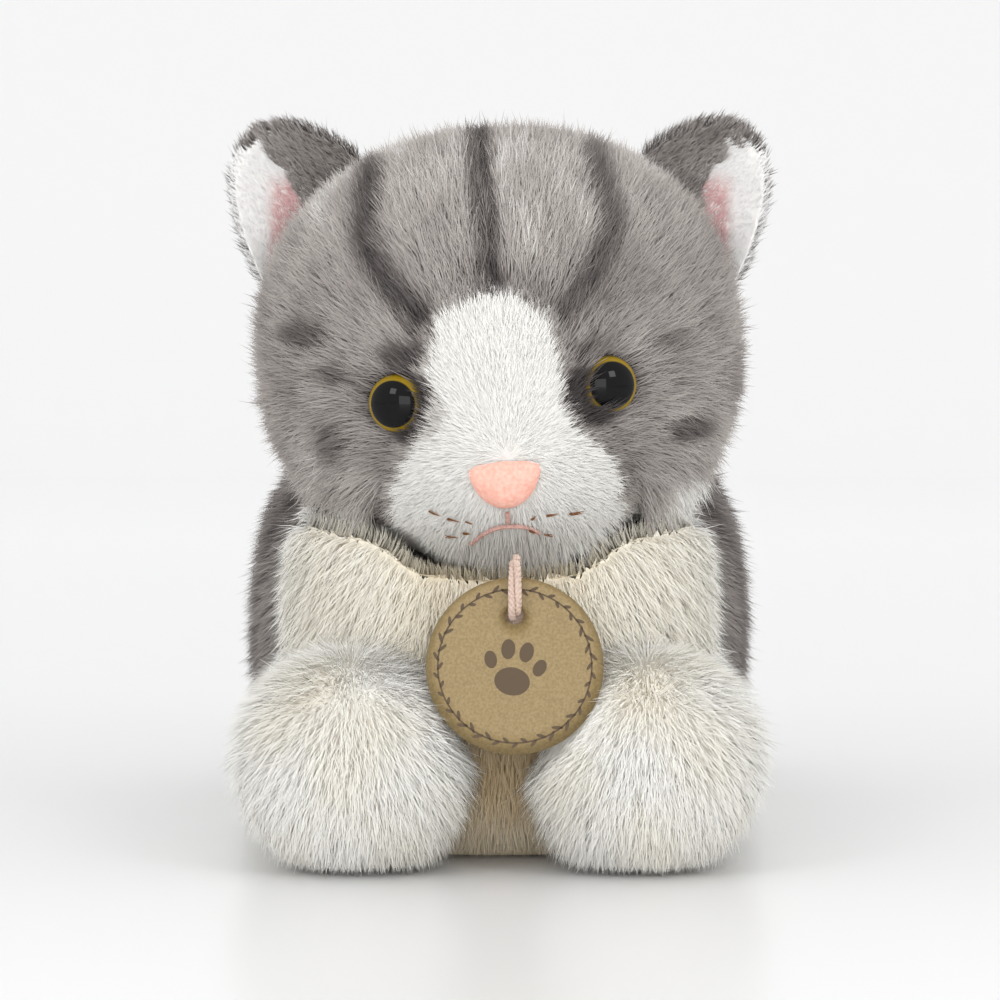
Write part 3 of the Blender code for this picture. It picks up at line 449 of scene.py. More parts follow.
def head_radius(way):
    plain = (np.abs(way / HEAD_HALF) ** HEAD_SQUARENESS).sum(-1) ** (-1.0 / HEAD_SQUARENESS)
    away = np.arccos(np.clip(way @ MUZZLE_WAY, -1.0, 1.0))
    return plain + MUZZLE_REACH * np.exp(-away * away / (2.0 * MUZZLE_SPREAD ** 2))


def to_head(points):
    return (points - HEAD_CENTRE) @ HEAD_TURN


def from_head(points):
    return points @ HEAD_TURN.T + HEAD_CENTRE


def face_point(x, z, lift=0.0):
    """The point of the face at x and z in the head's own frame, raised by lift."""
    x, z = np.asarray(x, float), np.asarray(z, float)
    y = np.full(np.broadcast(x, z).shape, -HEAD_HALF[1])
    for _ in range(20):
        place = vec(x, y, z)
        reach = head_radius(unit(place))
        y = -np.sqrt(np.maximum(reach * reach - x * x - z * z, 1e-6))
    place = vec(x, y, z)
    return place + unit(place) * lift


def head_patch(depth):
    polar = np.linspace(0.001, pi - 0.001, 90)[:, None]
    around = ring(121)
    way = vec(np.sin(polar) * np.cos(around), -np.cos(polar), np.sin(polar) * np.sin(around))
    drop = np.arctan2(-way[..., 2], -way[..., 1])
    puff = CHIN_PUFF * ease(drop, radians(47.0), radians(57.0))
    puff = puff * (1.0 - ease(drop, radians(75.0), radians(100.0)))
    puff = puff * (1.0 - ease(np.abs(way[..., 0]), 0.20, 0.50))
    grid = from_head(way * (head_radius(way) + puff - depth)[..., None])
    return Patch(grid, HEAD_CENTRE)


def white_share(p):
    """How white the face is at a point of the head's own frame, from 0 to 1."""
    x, y, z = p.T / MM
    x = x + 1.0 * waves(p, 0.012, 1)
    heights = (-62, -54, -46, -36, -27, -18, -8, 4, 11, 15, 18.5, 20)
    halves = (40, 36, 33.5, 34, 30, 23.5, 20.5, 19, 17, 14, 7, 0)
    half = np.interp(z, heights, halves)
    share = ease(half - np.abs(x + 1.5), -1.2, 1.2) * (y < 8.0)
    under = ease(-z - np.abs(x) * 0.12, 38.0, 43.0) * ease(y, -44.0, -30.0)
    return np.maximum(share, under)


def head_shade(points):
    """Palette place of the head's fur: tabby marks on grey, white below and between the eyes."""
    p = to_head(points)
    x, y, z = p.T / MM
    shade = GREY + 0.10 * ease(z, 22.0, 52.0) + 0.05 * waves(p, 0.02, 2)
    shade = shade + 0.10 * ease(-z, 12.0, 40.0) * ease(np.abs(x), 38.0, 55.0)
    front = ease(-y, -25.0, 5.0)
    dark = 0.9 * (1.0 - ease(np.abs(x + 0.012 * z), 0.8, 6.0)) * ease(z, 15.0, 22.0)
    for side, strength in ((-1.0, 1.0), (1.0, 0.8)):
        line = ((side * 32.0, 56.0), (side * 34.0, 46.0), (side * 36.0, 37.0), (side * 30.0, 25.0),
                (side * 21.0, 15.0))
        dark = np.maximum(dark, 0.85 * strength * (1.0 - ease(from_line(x, z, line), 0.6, 6.5)))
    spots = ((-28.0, 6.0, 9.0, 5.0, 0.75), (28.0, 4.0, 8.0, 4.0, 0.5), (-56.0, 12.0, 9.0, 5.0, 0.6),
             (-49.0, 0.0, 8.0, 4.0, 0.5), (-52.0, -22.0, 5.0, 8.0, 0.45), (50.0, 2.0, 8.0, 4.0, 0.35),
             (54.0, -27.0, 8.0, 5.0, 0.7), (-36.0, -8.0, 4.0, 9.0, 0.55), (37.0, -6.0, 4.0, 8.0, 0.5),
             (-17.5, -16.0, 4.0, 7.0, 0.45), (19.0, -8.0, 4.0, 6.0, 0.6))
    for sx, sz, width, height, strength in spots:
        dark = np.maximum(dark, strength * blob(x, z, (sx, sz), width, height))
    bars = 0.45 * ease(np.sin(y / 11.0 * pi + 0.04 * np.abs(x)), 0.3, 0.8) * ease(y, 8.0, 16.0)
    dark = np.maximum(dark * front, bars * ease(z, -10.0, 5.0))
    shade = shade + (DARK - shade) * dark
    white = white_share(p)
    shade = shade + (WHITE - 0.025 - shade) * white
    for side in (-1.0, 1.0):
        away = np.hypot(x - side * EYE_X / MM, z - EYE_Z / MM)
        rim = (1.0 - ease(away, EYE_RADIUS / MM * 1.05, EYE_RADIUS / MM * 1.45)) * (y < 0.0)
        rim = rim * (1.0 - 0.9 * white)
        shade = shade + (DARK - shade) * rim
    return shade


def whisker_dashes(material, rng):
    """Short brown stitches in rows on each side of the muzzle: their starts, lengths and slopes."""
    dashes = ((-21.0, -37.6, 3.4, -0.45), (-16.6, -39.8, 3.2, -0.25), (-12.0, -41.0, 1.8, -0.4),
              (-17.6, -44.6, 3.0, 0.05), (-13.2, -44.0, 2.4, 0.25), (4.4, -41.6, 1.6, 0.9),
              (8.4, -41.2, 3.0, 0.1), (14.2, -41.4, 3.8, 0.0), (3.8, -44.6, 1.8, -0.7),
              (7.6, -46.2, 2.4, -0.4))
    x, z, long, lean = np.repeat(dashes, THREADS_PER_STITCH, axis=0).T
    off = rng.normal(0.0, 0.16, (len(x), 2))
    places = face_point((x + off[:, 0]) * MM, (z + off[:, 1]) * MM)
    normals = unit(places)
    fibres("whisker_stitches", from_head(places + normals * 1.9 * MM), normals @ HEAD_TURN.T,
           vec(np.cos(lean), 0.0, np.sin(lean)) @ HEAD_TURN.T, 0.35 * MM, long * MM, BROWN, "head",
           material, "white_plush", rng, curl=0.03, width=1.3, tuft=0.0)


def head_comb(p):
    """Fur lies away from the nose, down on the cheeks and back over the crown."""
    x, y, z = p.T
    comb = p - np.array((0.0, -0.062, -0.026))
    comb[:, 2] -= 0.03 * ease(np.abs(x), 0.025, 0.05) * ease(-z, -0.01, 0.02)
    comb[:, 2] -= 0.05 * ease(y, 0.01, 0.03)
    comb[:, 1] += 0.03 * ease(z, 0.02, 0.05)
    return comb


def eye_places():
    """Name, seat and outward axis of each eye, in the row frame."""
    places = []
    for name, side in SIDES:
        seat = from_head(face_point(side * EYE_X, EYE_Z, -0.0002))
        axis = np.array((side * sin(EYE_TURN), -cos(EYE_TURN), 0.0)) @ HEAD_TURN.T
        places.append((name, side, seat, axis))
    return places


def shorten_over(points, tips, centre, axis, radius):
    """The share of a fibre to keep so that its tip stays off a round piece."""
    def away(q):
        return norm(np.cross(q - centre, axis))

    near = norm(points - centre) < radius * 3.0
    start, end = away(points), away(tips)
    cut = near & (end < radius)
    return np.where(cut, np.clip((start - radius) / np.maximum(start - end, 1e-6), 0.0, 1.0), 1.0)


def head_fur(material, rng):
    patch = head_patch(SKIN_DEPTH)
    roots, normals, _ = patch.scatter(1.5, rng)
    p = to_head(roots)
    keep = rng.random(len(p)) < np.where(p[:, 1] < 0.012, 1.0, 0.5)
    keep &= ~inside_torso(roots, 0.0)
    roots, normals, p = roots[keep], normals[keep], p[keep]
    x, y, z = p.T
    white = white_share(p) * ease(-y, -0.01, 0.01)
    comb = head_comb(p)
    chin = white * ease(-z, 0.042, 0.052) * ease(0.034 - np.abs(x), 0.0, 0.012)
    jowl = (1.0 - white) * ease(-z, 0.024, 0.042) * ease(-y, -0.02, 0.01)
    height = SKIN_DEPTH + (2.6 - 1.4 * white + 4.0 * chin + 2.4 * jowl) * MM
    reach = (7.5 - 3.8 * white + 5.0 * chin + 6.5 * jowl) * MM
    comb[:, 2] -= 0.05 * chin + 0.04 * jowl
    comb[:, 1] -= 0.03 * jowl
    mouth = np.minimum(from_line(x, z, MOUTH), from_line(x, z, PHILTRUM))
    mouth = np.where(y < 0.0, mouth, 1.0)
    height *= 0.6 + 0.4 * ease(mouth, 0.5 * MM, 3.0 * MM)
    reach *= 0.5 + 0.5 * ease(mouth, 0.5 * MM, 3.5 * MM)
    comb = comb @ HEAD_TURN.T
    ahead = roots + normals * height[:, None] + unit(comb) * (reach * 1.2)[:, None]
    keep = mouth > 0.3 * MM
    for _, side, seat, axis in eye_places():
        inner = (x * side < EYE_X - 0.002) & (np.abs(z - EYE_Z) < 0.016) & (y < 0.0)
        beside = np.hypot(x - side * EYE_X, z - EYE_Z)
        height += 2.6 * MM * inner * (1.0 - ease(beside, EYE_RADIUS * 1.2, EYE_RADIUS * 2.0))
        radius = EYE_RADIUS * np.where(inner, 0.80, 0.97)
        share = shorten_over(roots, ahead, seat, axis, radius)
        away = norm(np.cross(roots - seat, axis))
        keep &= (share > 0.22) & ~((away < EYE_RADIUS * 0.98) & (y < 0.0))
        height *= np.where((share < 1.0) & ~inner, 0.75, 1.0)
        reach *= share
    nose = np.hypot((x - NOSE_X) / (NOSE_WIDTH * 0.42), (z - NOSE_Z) / (NOSE_HEIGHT * 0.46))
    nose = np.where(y < 0.0, nose, 9.0)
    keep &= nose > 0.9
    height *= 0.7 + 0.3 * ease(nose, 1.0, 1.8)
    shade = head_shade(ahead) + rng.normal(0.0, 0.04, len(p)) * (1.0 - 0.7 * white)
    shade = np.maximum(shade, DARK)
    sector = np.arctan2(z, x)
    parts = {
        "muzzle_fur": (white > 0.5) & (z > -0.5),
        "crown_fur": (white <= 0.5) & (sector > radians(52.0)) & (sector < radians(128.0)),
        "left_cheek_fur": (white <= 0.5) & (sector <= radians(52.0)) & (np.abs(sector) < pi / 2),
        "right_cheek_fur": (white <= 0.5) & ((sector >= radians(128.0)) | (sector < -pi / 2)),
    }
    for name, part in parts.items():
        part = part & keep
        wide = np.where(white[part] > 0.5, 0.85, 1.0)[:, None]
        slot, tuft = ("white_plush", 0.2) if name == "muzzle_fur" else ("grey_plush", 0.4)
        fibres(name, roots[part], normals[part], comb[part], height[part], reach[part], shade[part],
               "head", material, slot, rng, width=wide, tuft=tuft)
    base_skin("head_skin", patch, head_shade, "head", material, "grey_plush",
              ("muzzle_panel", "crown_panel", "left_cheek_panel", "right_cheek_panel",
               "throat_panel", "nape_panel"))


def make_eyes():
    for name, _, seat, axis in eye_places():
        side_way = unit(np.cross(axis, np.array((0.0, 0.0, 1.0))))
        up = np.cross(side_way, axis)
        angle = np.linspace(pi / 2.0, 0.0, 25)
        radius = np.append(EYE_RADIUS * np.cos(angle), (EYE_RADIUS, EYE_RADIUS * 0.3))
        height = np.append(EYE_DOME * np.sin(angle), (-0.0008, -0.0009))
        turn = ring(65)[..., None]
        grid = seat + height[:, None, None] * axis + radius[:, None, None] * (
            side_way * np.cos(turn) + up * np.sin(turn))
        stuff = eye_material(f"{name}_eye_plastic", seat, axis)
        link(grid_mesh(f"{name}_eye_dome", grid), "head", stuff, "eye", (f"{name}_eye",))


def make_nose():
    """A puffed pink nose: wide and cleft at the top, narrow below."""
    turn = ring(73)
    out = np.linspace(0.0, 1.0, 22)[:, None]
    c, s = np.cos(turn), np.sin(turn)
    corner = np.where(s > 0.0, 0.55, 0.80)
    c, s = np.sign(c) * np.abs(c) ** corner, np.sign(s) * np.abs(s) ** corner
    wide = NOSE_WIDTH / 2.0 * (1.04 - 0.50 * (0.5 - 0.5 * s) ** 1.2)
    x = NOSE_X + out * wide * c
    z = NOSE_Z + 0.0003 + out * NOSE_HEIGHT / 2.0 * 0.93 * s
    puff = NOSE_THICKNESS * np.sqrt(np.maximum(0.0, 1.0 - out ** 2.4))
    cleft = 0.0007 * np.exp(-((x - NOSE_X) / 0.0011) ** 2) * ease(z, NOSE_Z - 0.003, NOSE_Z + 0.004)
    grid = from_head(face_point(x, z, puff[..., None] - cleft[..., None] + 0.0003))
    stuff = noise_material("nose_velour", (236, 170, 152), (246, 192, 176), 900.0, 0.75)
    link(grid_mesh("nose_pad", grid), "head", stuff, "nose", ("nose",))


# ---- ears


def ear_surface(side, s, t):
    """A point of the ear's middle surface in the head's frame; s is 0 at the head, t is -1 at the crown."""
    angle = EAR_INNER + (EAR_OUTER - EAR_INNER) * (t + 1.0) / 2.0 - side * EAR_LEVEL
    way = vec(np.cos(angle), 0.0, np.sin(angle))
    foot = way * (head_radius(way) + EAR_LIFT)[..., None]
    foot = vec(side * foot[..., 0], EAR_SETBACK, foot[..., 2])
    height = EAR_HEIGHT * np.maximum(0.0, 1.0 - np.abs(t) ** 2.6) ** 0.9
    splay = EAR_SPLAY + side * EAR_LEVEL
    lean = vec(side * np.sin(splay), 0.0 * t, np.cos(splay))
    cup = EAR_CUP * (1.0 - t * t) * (1.0 - 0.4 * s)
    place = foot + lean * (height * s)[..., None]
    place[..., 1] += cup
    return place, lean


def ear_patch(side):
    """The ear's closed skin: up the lining, over the rim and down the back."""
    t = np.sin(np.linspace(-EAR_END, EAR_END, 41))[None, :]
    across = np.linspace(0.0, 1.0, 46)[:, None]
    t, across = np.broadcast_arrays(t, across)
    front, back, middle = -1.2 * MM, 2.4 * MM, 0.6 * MM
    s = np.minimum(1.0, np.minimum(across, 1.0 - across) / EAR_FRONT) * 0.95
    place, lean = ear_surface(side, s, t)
    bend = np.clip((across - EAR_FRONT) / (1.0 - 2.0 * EAR_FRONT), 0.0, 1.0) * pi
    radius = (back - front) / 2.0
    place = place + lean * (radius * np.sin(bend))[..., None]
    place[..., 1] += middle - radius * np.cos(bend)
    middle_line, _ = ear_surface(side, 0.45, t)
    middle_line[..., 1] += middle
    return Patch(from_head(place), from_head(middle_line))


def make_ear(name, side, fur, lining, rng):
    patch = ear_patch(side)
    body = f"{name}_ear"
    roots, normals, places = patch.scatter(1.9, rng)
    across, t = places[:, 0], np.sin(EAR_END * (2.0 * places[:, 1] - 1.0))
    up = np.minimum(1.0, np.minimum(across, 1.0 - across) / EAR_FRONT)
    inner_side = -0.30 + 0.25 * (1.0 - up) + 0.10 * waves(roots, 0.008, 5)
    pad = (across < 0.41 + 0.13 * ease(t, -0.15, 0.35)) & (t > inner_side)
    _, lean = ear_surface(side, 0.5, t)
    comb = lean @ HEAD_TURN.T + vec(side * 0.25 * pad, 0.0, 0.0)
    height = np.where(pad, 1.9 * MM, np.where(across < EAR_FRONT, 3.0 * MM, 3.2 * MM))
    reach = np.where(pad, 2.6 * MM, 3.6 * MM)
    pink = ease(0.62 - up - 0.6 * np.abs(t - 0.05), -0.08, 0.30)
    pink_shade = 1.0 - 0.95 * pink + rng.normal(0.0, 0.05, len(t))
    grey_shade = GREY - 0.06 + 0.05 * waves(roots, 0.01, 6) + rng.normal(0.0, 0.04, len(t))
    for kind, part, shade, stuff, slot, width in (
            ("ear_lining_fur", pad, pink_shade, lining, "ear_plush", 0.8),
            ("ear_fur", ~pad, grey_shade, fur, "grey_plush", 1.0)):
        fibres(f"{name}_{kind}", roots[part], normals[part], comb[part], height[part], reach[part],
               shade[part], body, stuff, slot, rng, width=width)
    rows, columns = patch.grid.shape[:2]
    across, t = np.meshgrid(np.linspace(0.0, 1.0, rows), np.linspace(-1.0, 1.0, columns), indexing="ij")
    shade = np.where((across < 0.5) & (t > -0.25), WHITE, GREY)
    skin_uv = vec(shade.ravel(), 0.5)
    link(grid_mesh(f"{name}_ear_skin", patch.grid, skin_uv), body, fur, "grey_plush",
         (f"{name}_ear_back", f"{name}_ear_lining"))


# ---- torso


def torso_ring(y):
    along = (y - CHEST_Y) / (RUMP_Y - CHEST_Y)
    nose = np.maximum(0.0, 1.0 - (1.0 - np.minimum(along / 0.22, 1.0)) ** 2.6) ** 0.5
    tail = np.maximum(0.0, 1.0 - (1.0 - np.minimum((1.0 - along) / 0.24, 1.0)) ** 2.4) ** 0.5
    shoulder = np.exp(-((y + 0.060) / 0.030) ** 2)
    half = (TORSO_HALF_WIDTH + SHOULDER_EXTRA * shoulder) * nose ** 0.7 * tail ** 0.5
    middle = 0.40 * TORSO_HEIGHT
    top = middle + (TORSO_HEIGHT - middle) * nose * tail
    low = middle - 1.16 * middle * (nose * tail) ** 0.6
    return half, top, low


def torso_surface(y, around, depth):
    half, top, low = torso_ring(y)
    power = 2.0 / TORSO_SQUARENESS
    c, s = np.cos(around), np.sin(around)
    x = (half - depth) * np.abs(c) ** power * np.sign(c)
    z = (top + low) / 2.0 + ((top - low) / 2.0 - depth) * np.abs(s) ** power * np.sign(s)
    middle, long = (CHEST_Y + RUMP_Y) / 2.0, (RUMP_Y - CHEST_Y) / 2.0
    return vec(x, middle + (y - middle) * (long - depth) / long, np.maximum(z, depth))


def inside_torso(points, margin):
    x, y, z = points.T
    half, top, low = torso_ring(np.clip(y, CHEST_Y + 1e-4, RUMP_Y - 1e-4))
    across = np.abs(x) / np.maximum(half + margin, 1e-4)
    up = np.abs(z - (top + low) / 2.0) / np.maximum((top - low) / 2.0 + margin, 1e-4)
    return (across ** TORSO_SQUARENESS + up ** TORSO_SQUARENESS < 1.0) & (y > CHEST_Y) & (y < RUMP_Y)


def chin_reach(way):
    """How far from the head's centre its room in the torso goes, along a unit vector."""
    rise = way[..., 2]
    ahead = vec(0.0 * rise, -np.sqrt(np.maximum(0.0, 1.0 - rise * rise)), rise)
    extra = CHIN_EXTRA * (1.0 - ease(np.abs(way[..., 0]), 0.25, 0.50))
    front = np.where(way[..., 1] < 0.0, head_radius(ahead) + CHIN_CLEARANCE + extra, 0.0)
    return np.maximum(front, SEAT_RADIUS)


def in_chin_room(points):
    """In the space under the head that the chin passes through as the head turns."""
    off = points - HEAD_CENTRE
    return norm(off) < chin_reach(unit(off))


def torso_patch(depth):
    first, last = CHEST_Y + 0.0012, RUMP_Y - 0.0012
    share = (1.0 - np.cos(np.linspace(0.0, pi, 70))) / 2.0
    y = (first + (last - first) * share)[:, None]
    turn = ring(121)
    y, turn = np.broadcast_arrays(y, turn)
    grid = torso_surface(y, turn, depth)
    front_cap, back_cap = (end.mean(axis=1, keepdims=True).repeat(grid.shape[1], 1)
                           for end in (grid[:1], grid[-1:]))
    grid = np.concatenate([front_cap, grid, back_cap], 0)
    return Patch(grid, vec(0.0, np.clip(grid[..., 1], -0.07, 0.07), 0.05))


def collar_patch():
    """The dished top of the chest that the head sits in."""
    rise = np.radians(np.linspace(-80.0, 10.0, 40))[:, None]
    turn = np.radians(np.linspace(-120.0, 120.0, 90))[None, :]
    way = vec(np.cos(rise) * np.sin(turn), -np.cos(rise) * np.cos(turn), np.sin(rise))
    grid = HEAD_CENTRE + way * (chin_reach(way) + 0.0003)[..., None]
    patch = Patch(grid, HEAD_CENTRE)
    patch.normals = -patch.normals
    return patch


def outside_torso(points):
    return ~inside_torso(points, -0.0006)


def torso_shade(points):
    """White chest, belly and sides of the shoulders, a tabby back, and painted brown shade low between the
    front legs.
    """
    x, y, z = points.T
    grey = ease(y + 0.004 * waves(points, 0.03, 8), CHEST_SEAM_Y - 0.001, CHEST_SEAM_Y + 0.010)
    grey *= ease(z + 0.004 * waves(points, 0.03, 9), 0.026, 0.036)
    bars = ease(np.sin(y / 0.024 * 2.0 * pi + 18.0 * np.abs(x)), 0.25, 0.85) * ease(z, 0.05, 0.08)
    spine = 1.0 - ease(np.abs(x), 0.004, 0.010)
    back = GREY - 0.05 + 0.05 * waves(points, 0.03, 10)
    back = back + (DARK - back) * np.maximum(0.7 * bars, 0.8 * spine * ease(z, 0.08, 0.1))
    cream = ease(0.034 - np.abs(x), 0.0, 0.02) * ease(-y, 0.06, 0.09)
    # Painted brown shade low between the front legs, under the chest, weaker again next to the floor; it is
    # laid only in the creamier front middle.
    gap_shade = ease(0.050 - z, 0.0, 0.02) - 0.5 * ease(0.026 - z, 0.0, 0.02)
    chest = WHITE + 0.08 * ease(-y, 0.04, 0.09) + cream * (0.05 + 0.09 * gap_shade)
    return chest + (back - chest) * grey


def torso_fur(material, filling, rng):
    patch = torso_patch(SKIN_DEPTH)
    roots, normals, _ = patch.scatter(1.0, rng)
    keep = ~in_chin_room(roots) & (roots[:, 2] > 0.004)
    keep &= ~inside_leg(roots, -0.002) & ~inside_haunch(roots)
    roots, normals = roots[keep], normals[keep]
    x, y, z = roots.T
    comb = vec(0.5 * x / 0.05, np.where(y < -0.06, -0.25, 1.0), np.where(y < -0.05, -0.9, -0.35))
    under_chin = ease(0.096 - z, 0.0, 0.016) + ease(np.abs(x), 0.030, 0.044)
    height = SKIN_DEPTH + (1.2 + 3.4 * np.minimum(under_chin, 1.0)) * MM * ease(z, 0.0, 0.03)
    shade = torso_shade(roots + normals * height[:, None])
    shade = np.maximum(DARK, shade + rng.normal(0.0, 0.04, len(roots)) * np.where(shade > 0.7, 0.3, 1.0))
    chest = y < CHEST_SEAM_Y
    sparse = ~chest & (rng.random(len(roots)) < 0.68)
    for name, part, slot, tuft in (("chest_fur", chest, "white_plush", 0.15),
                                   ("back_fur", sparse, "grey_plush", 0.4)):
        fibres(name, roots[part], normals[part], comb[part], height[part], 7.5 * MM, shade[part],
               "torso", material, slot, rng, tuft=tuft)
    base_skin("torso_skin", patch, torso_shade, "torso", material, "grey_plush",
              ("back_panel", "belly_panel", "chest_panel"), in_chin_room)
    inner = grid_mesh("torso_fibre_filling", torso_patch(FILLING_DEPTH).grid, hole=in_chin_room)
    link(inner, "torso", filling, "filling", ("torso_filling",))
    collar = collar_patch()
    base_skin("collar_skin", collar, torso_shade, "torso", material, "white_plush", hole=outside_torso)
    roots, normals, _ = collar.scatter(1.0, rng)
    keep = ~outside_torso(roots)
    roots, normals = roots[keep], normals[keep]
    comb = vec(roots[:, 0] * 8.0, -1.0, 1.0)
    height = (3.6 + 1.4 * ease(np.abs(roots[:, 0]), 0.018, 0.034)) * MM
    fibres("collar_fur", roots, normals, comb, height, 3.5 * MM,
           torso_shade(roots), "torso", material, "white_plush", rng, tuft=0.15)


# ---- legs and tail


def leg_profile(depth):
    """Distance ahead of the shoulder and radius, from the root to the tip of the paw."""
    tip = FRONT_REACH + SHOULDER[1]
    paw = tip - PAW_RADIUS * 0.92
    back, front = np.radians(np.linspace(-48.0, 0.0, 6)), np.radians(np.linspace(0.0, 89.9, 22))
    share = np.linspace(0.15, 1.0, 8)
    ahead = ((SHOULDER_RADIUS - depth) * np.sin(back), (paw - 0.006) * share,
             paw + (PAW_RADIUS * 0.92 - depth) * np.sin(front))
    radius = ((SHOULDER_RADIUS - depth) * np.cos(back),
              SHOULDER_RADIUS * (1.0 - LEG_PINCH * np.sin(pi * share)) - depth,
              (PAW_RADIUS - depth) * np.cos(front) ** 0.94)
    return np.concatenate(ahead), np.concatenate(radius)


def leg_patch(side, depth):
    ahead, radius = leg_profile(depth)
    turn = ring(61)
    x = side * (SHOULDER[0] + radius[:, None] * np.cos(turn))
    z = np.maximum(SHOULDER[2] + radius[:, None] * np.sin(turn), depth)
    grid = vec(x, SHOULDER[1] - ahead[:, None], z)
    paw = np.maximum(grid[..., 1], -FRONT_REACH + PAW_RADIUS)
    return Patch(grid, vec(side * SHOULDER[0], paw, SHOULDER[2]))


def inside_leg(points, margin):
    beside = np.hypot(np.abs(points[:, 0]) - SHOULDER[0], points[:, 2] - SHOULDER[2])
    return (beside < SHOULDER_RADIUS + margin) & (points[:, 1] < SHOULDER[1]) & (points[:, 1] > -FRONT_REACH)


def behind_tag(points):
    """The share of a fibre to keep, so that the plush behind the tag is pressed flat."""
    low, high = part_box("swing_tag")
    middle = (low + high) / 2.0
    away = np.hypot(points[:, 0] - middle[0], points[:, 2] - middle[2])
    return 1.0 - 0.85 * (1.0 - ease(away, TAG_RADIUS + 0.001, TAG_RADIUS + 0.008)) * (points[:, 1] < -0.09)


def white_shade(points):
    return WHITE + 0.03 * waves(points, 0.03, 12) + 0.03


def front_leg(name, side, material, rng):
    patch = leg_patch(side, SKIN_DEPTH)
    roots, normals, _ = patch.scatter(1.15, rng)
    keep = ~inside_torso(roots, -0.004)
    roots, normals = roots[keep], normals[keep]
    comb = vec((roots[:, 0] - side * SHOULDER[0]) * 12.0, 0.12, -1.0)
    height = SKIN_DEPTH + (3.2 + 1.8 * ease(normals[:, 2], -0.6, 0.3)) * MM
    inward = ease(-side * normals[:, 0], 0.1, 0.8) * ease(-roots[:, 1], 0.085, 0.100)
    height += (1.6 + 3.0 * ease(0.024 - roots[:, 2], 0.0, 0.016)) * MM * inward
    height *= behind_tag(roots)
    reach = 6.5 * MM * (0.4 + 0.6 * behind_tag(roots))
    shade = white_shade(roots) + rng.normal(0.0, 0.012, len(roots))
    body = f"{name}_front_leg"
    fibres(f"{name}_front_leg_fur", roots, normals, comb, height, reach, shade, body, material,
           "white_plush", rng, width=0.9, tuft=0.12)
    base_skin(f"{name}_front_leg_cover", patch, white_shade, body, material, "white_plush",
              (f"{name}_front_leg_skin",))


def haunch_patch(side, depth):
    rise = np.linspace(0.0, radians(89.9), 24)[:, None]
    turn = ring(73)
    size = np.cos(rise) ** 0.9
    y = HIP[1] + (HAUNCH_LENGTH / 2.0 - depth) * size * np.cos(turn)
    z = (HAUNCH_HEIGHT / 2.0 - depth) * size * np.sin(turn) - 0.003
    z = HIP[2] + np.maximum(z, depth - HIP[2])
    x = side * (HIP[0] + (HAUNCH_OUT - depth) * np.sin(rise))
    return Patch(vec(x, y, z), np.array((side * (HIP[0] - 0.03), HIP[1], HIP[2])))


def inside_haunch(points):
    """Behind a haunch's flat side, where no fibre shows."""
    y = (points[:, 1] - HIP[1]) / (HAUNCH_LENGTH / 2.0 - 0.010)
    z = (points[:, 2] - HIP[2]) / (HAUNCH_HEIGHT / 2.0 - 0.010)
    return (np.abs(points[:, 0]) > 0.035) & (np.hypot(y, z) < 1.0)


def haunch_shade(points):
    grey = ease(points[:, 2] + 0.004 * waves(points, 0.03, 14), 0.030, 0.044)
    bars = 0.6 * ease(np.sin(points[:, 1] / 0.022 * 2.0 * pi + 30.0 * points[:, 2]), 0.3, 0.85)
    # The haunch's grey is set a step darker than the back's: painted shade on the flank.
    back = GREY - 0.10 + 0.05 * waves(points, 0.03, 15)
    back = back + (DARK - back) * bars
    return WHITE + (back - WHITE) * grey


def foot_patch(side, depth):
    heel, tip = FOOT_HEEL_Y, FOOT_TIP_Y
    back, toes = np.linspace(-1.0, 0.0, 8), np.radians(np.linspace(0.0, 89.9, 14))
    along = np.append(heel - (heel - tip) * 0.30 * (1.0 + back),
                      tip + FOOT_RADIUS - (FOOT_RADIUS - depth) * np.sin(toes))[:, None]
    size = np.append(0.80 + 0.20 * np.sqrt(1.0 - back * back), np.cos(toes) ** 0.9)[:, None]
    turn = ring(37)
    x = side * (HIP[0] + FOOT_OUT + (FOOT_RADIUS * 0.78 - depth) * size * np.cos(turn))
    z = FOOT_RADIUS + (FOOT_RADIUS - depth) * size * np.sin(turn)
    grid = vec(x, along, z)
    ball = np.maximum(grid[..., 1], tip + FOOT_RADIUS)
    return Patch(grid, vec(side * (HIP[0] + FOOT_OUT), ball, FOOT_RADIUS))


def hind_leg(name, side, material, rng):
    body = f"{name}_hind_leg"
    patch = haunch_patch(side, SKIN_DEPTH)
    roots, normals, _ = patch.scatter(1.0, rng)
    comb = np.array((side * 0.1, 0.7, -0.8))
    rim = np.hypot((roots[:, 1] - HIP[1]) / HAUNCH_LENGTH, (roots[:, 2] - HIP[2]) / HAUNCH_HEIGHT)
    normals = unit(normals + vec(side * 0.4 * ease(rim, 0.35, 0.5), 0.0, 0.0))
    height = SKIN_DEPTH + 5.0 * MM * ease(roots[:, 2], 0.0, 0.02)
    shade = haunch_shade(roots + normals * height[:, None]) + rng.normal(0.0, 0.03, len(roots))
    shade = np.maximum(DARK, shade)
    fibres(f"{name}_haunch_fur", roots, normals, comb, height, 6.5 * MM, shade, body, material,
           "grey_plush", rng)
    base_skin(f"{name}_haunch_cover", patch, haunch_shade, body, material, "grey_plush",
              (f"{name}_haunch_skin",))
    foot = foot_patch(side, 3.0 * MM)
    roots, normals, _ = foot.scatter(1.0, rng)
    comb = np.array((side * 0.1, 0.6, -0.3))
    height = 3.0 * MM + 2.2 * MM * ease(roots[:, 2], 0.0, 0.02)
    fibres(f"{name}_hind_foot_fur", roots, normals, comb, height, 4.0 * MM,
           white_shade(roots), body, material, "white_plush", rng)
    base_skin(f"{name}_hind_foot_cover", foot, white_shade, body, material, "white_plush",
              (f"{name}_hind_foot_skin",))


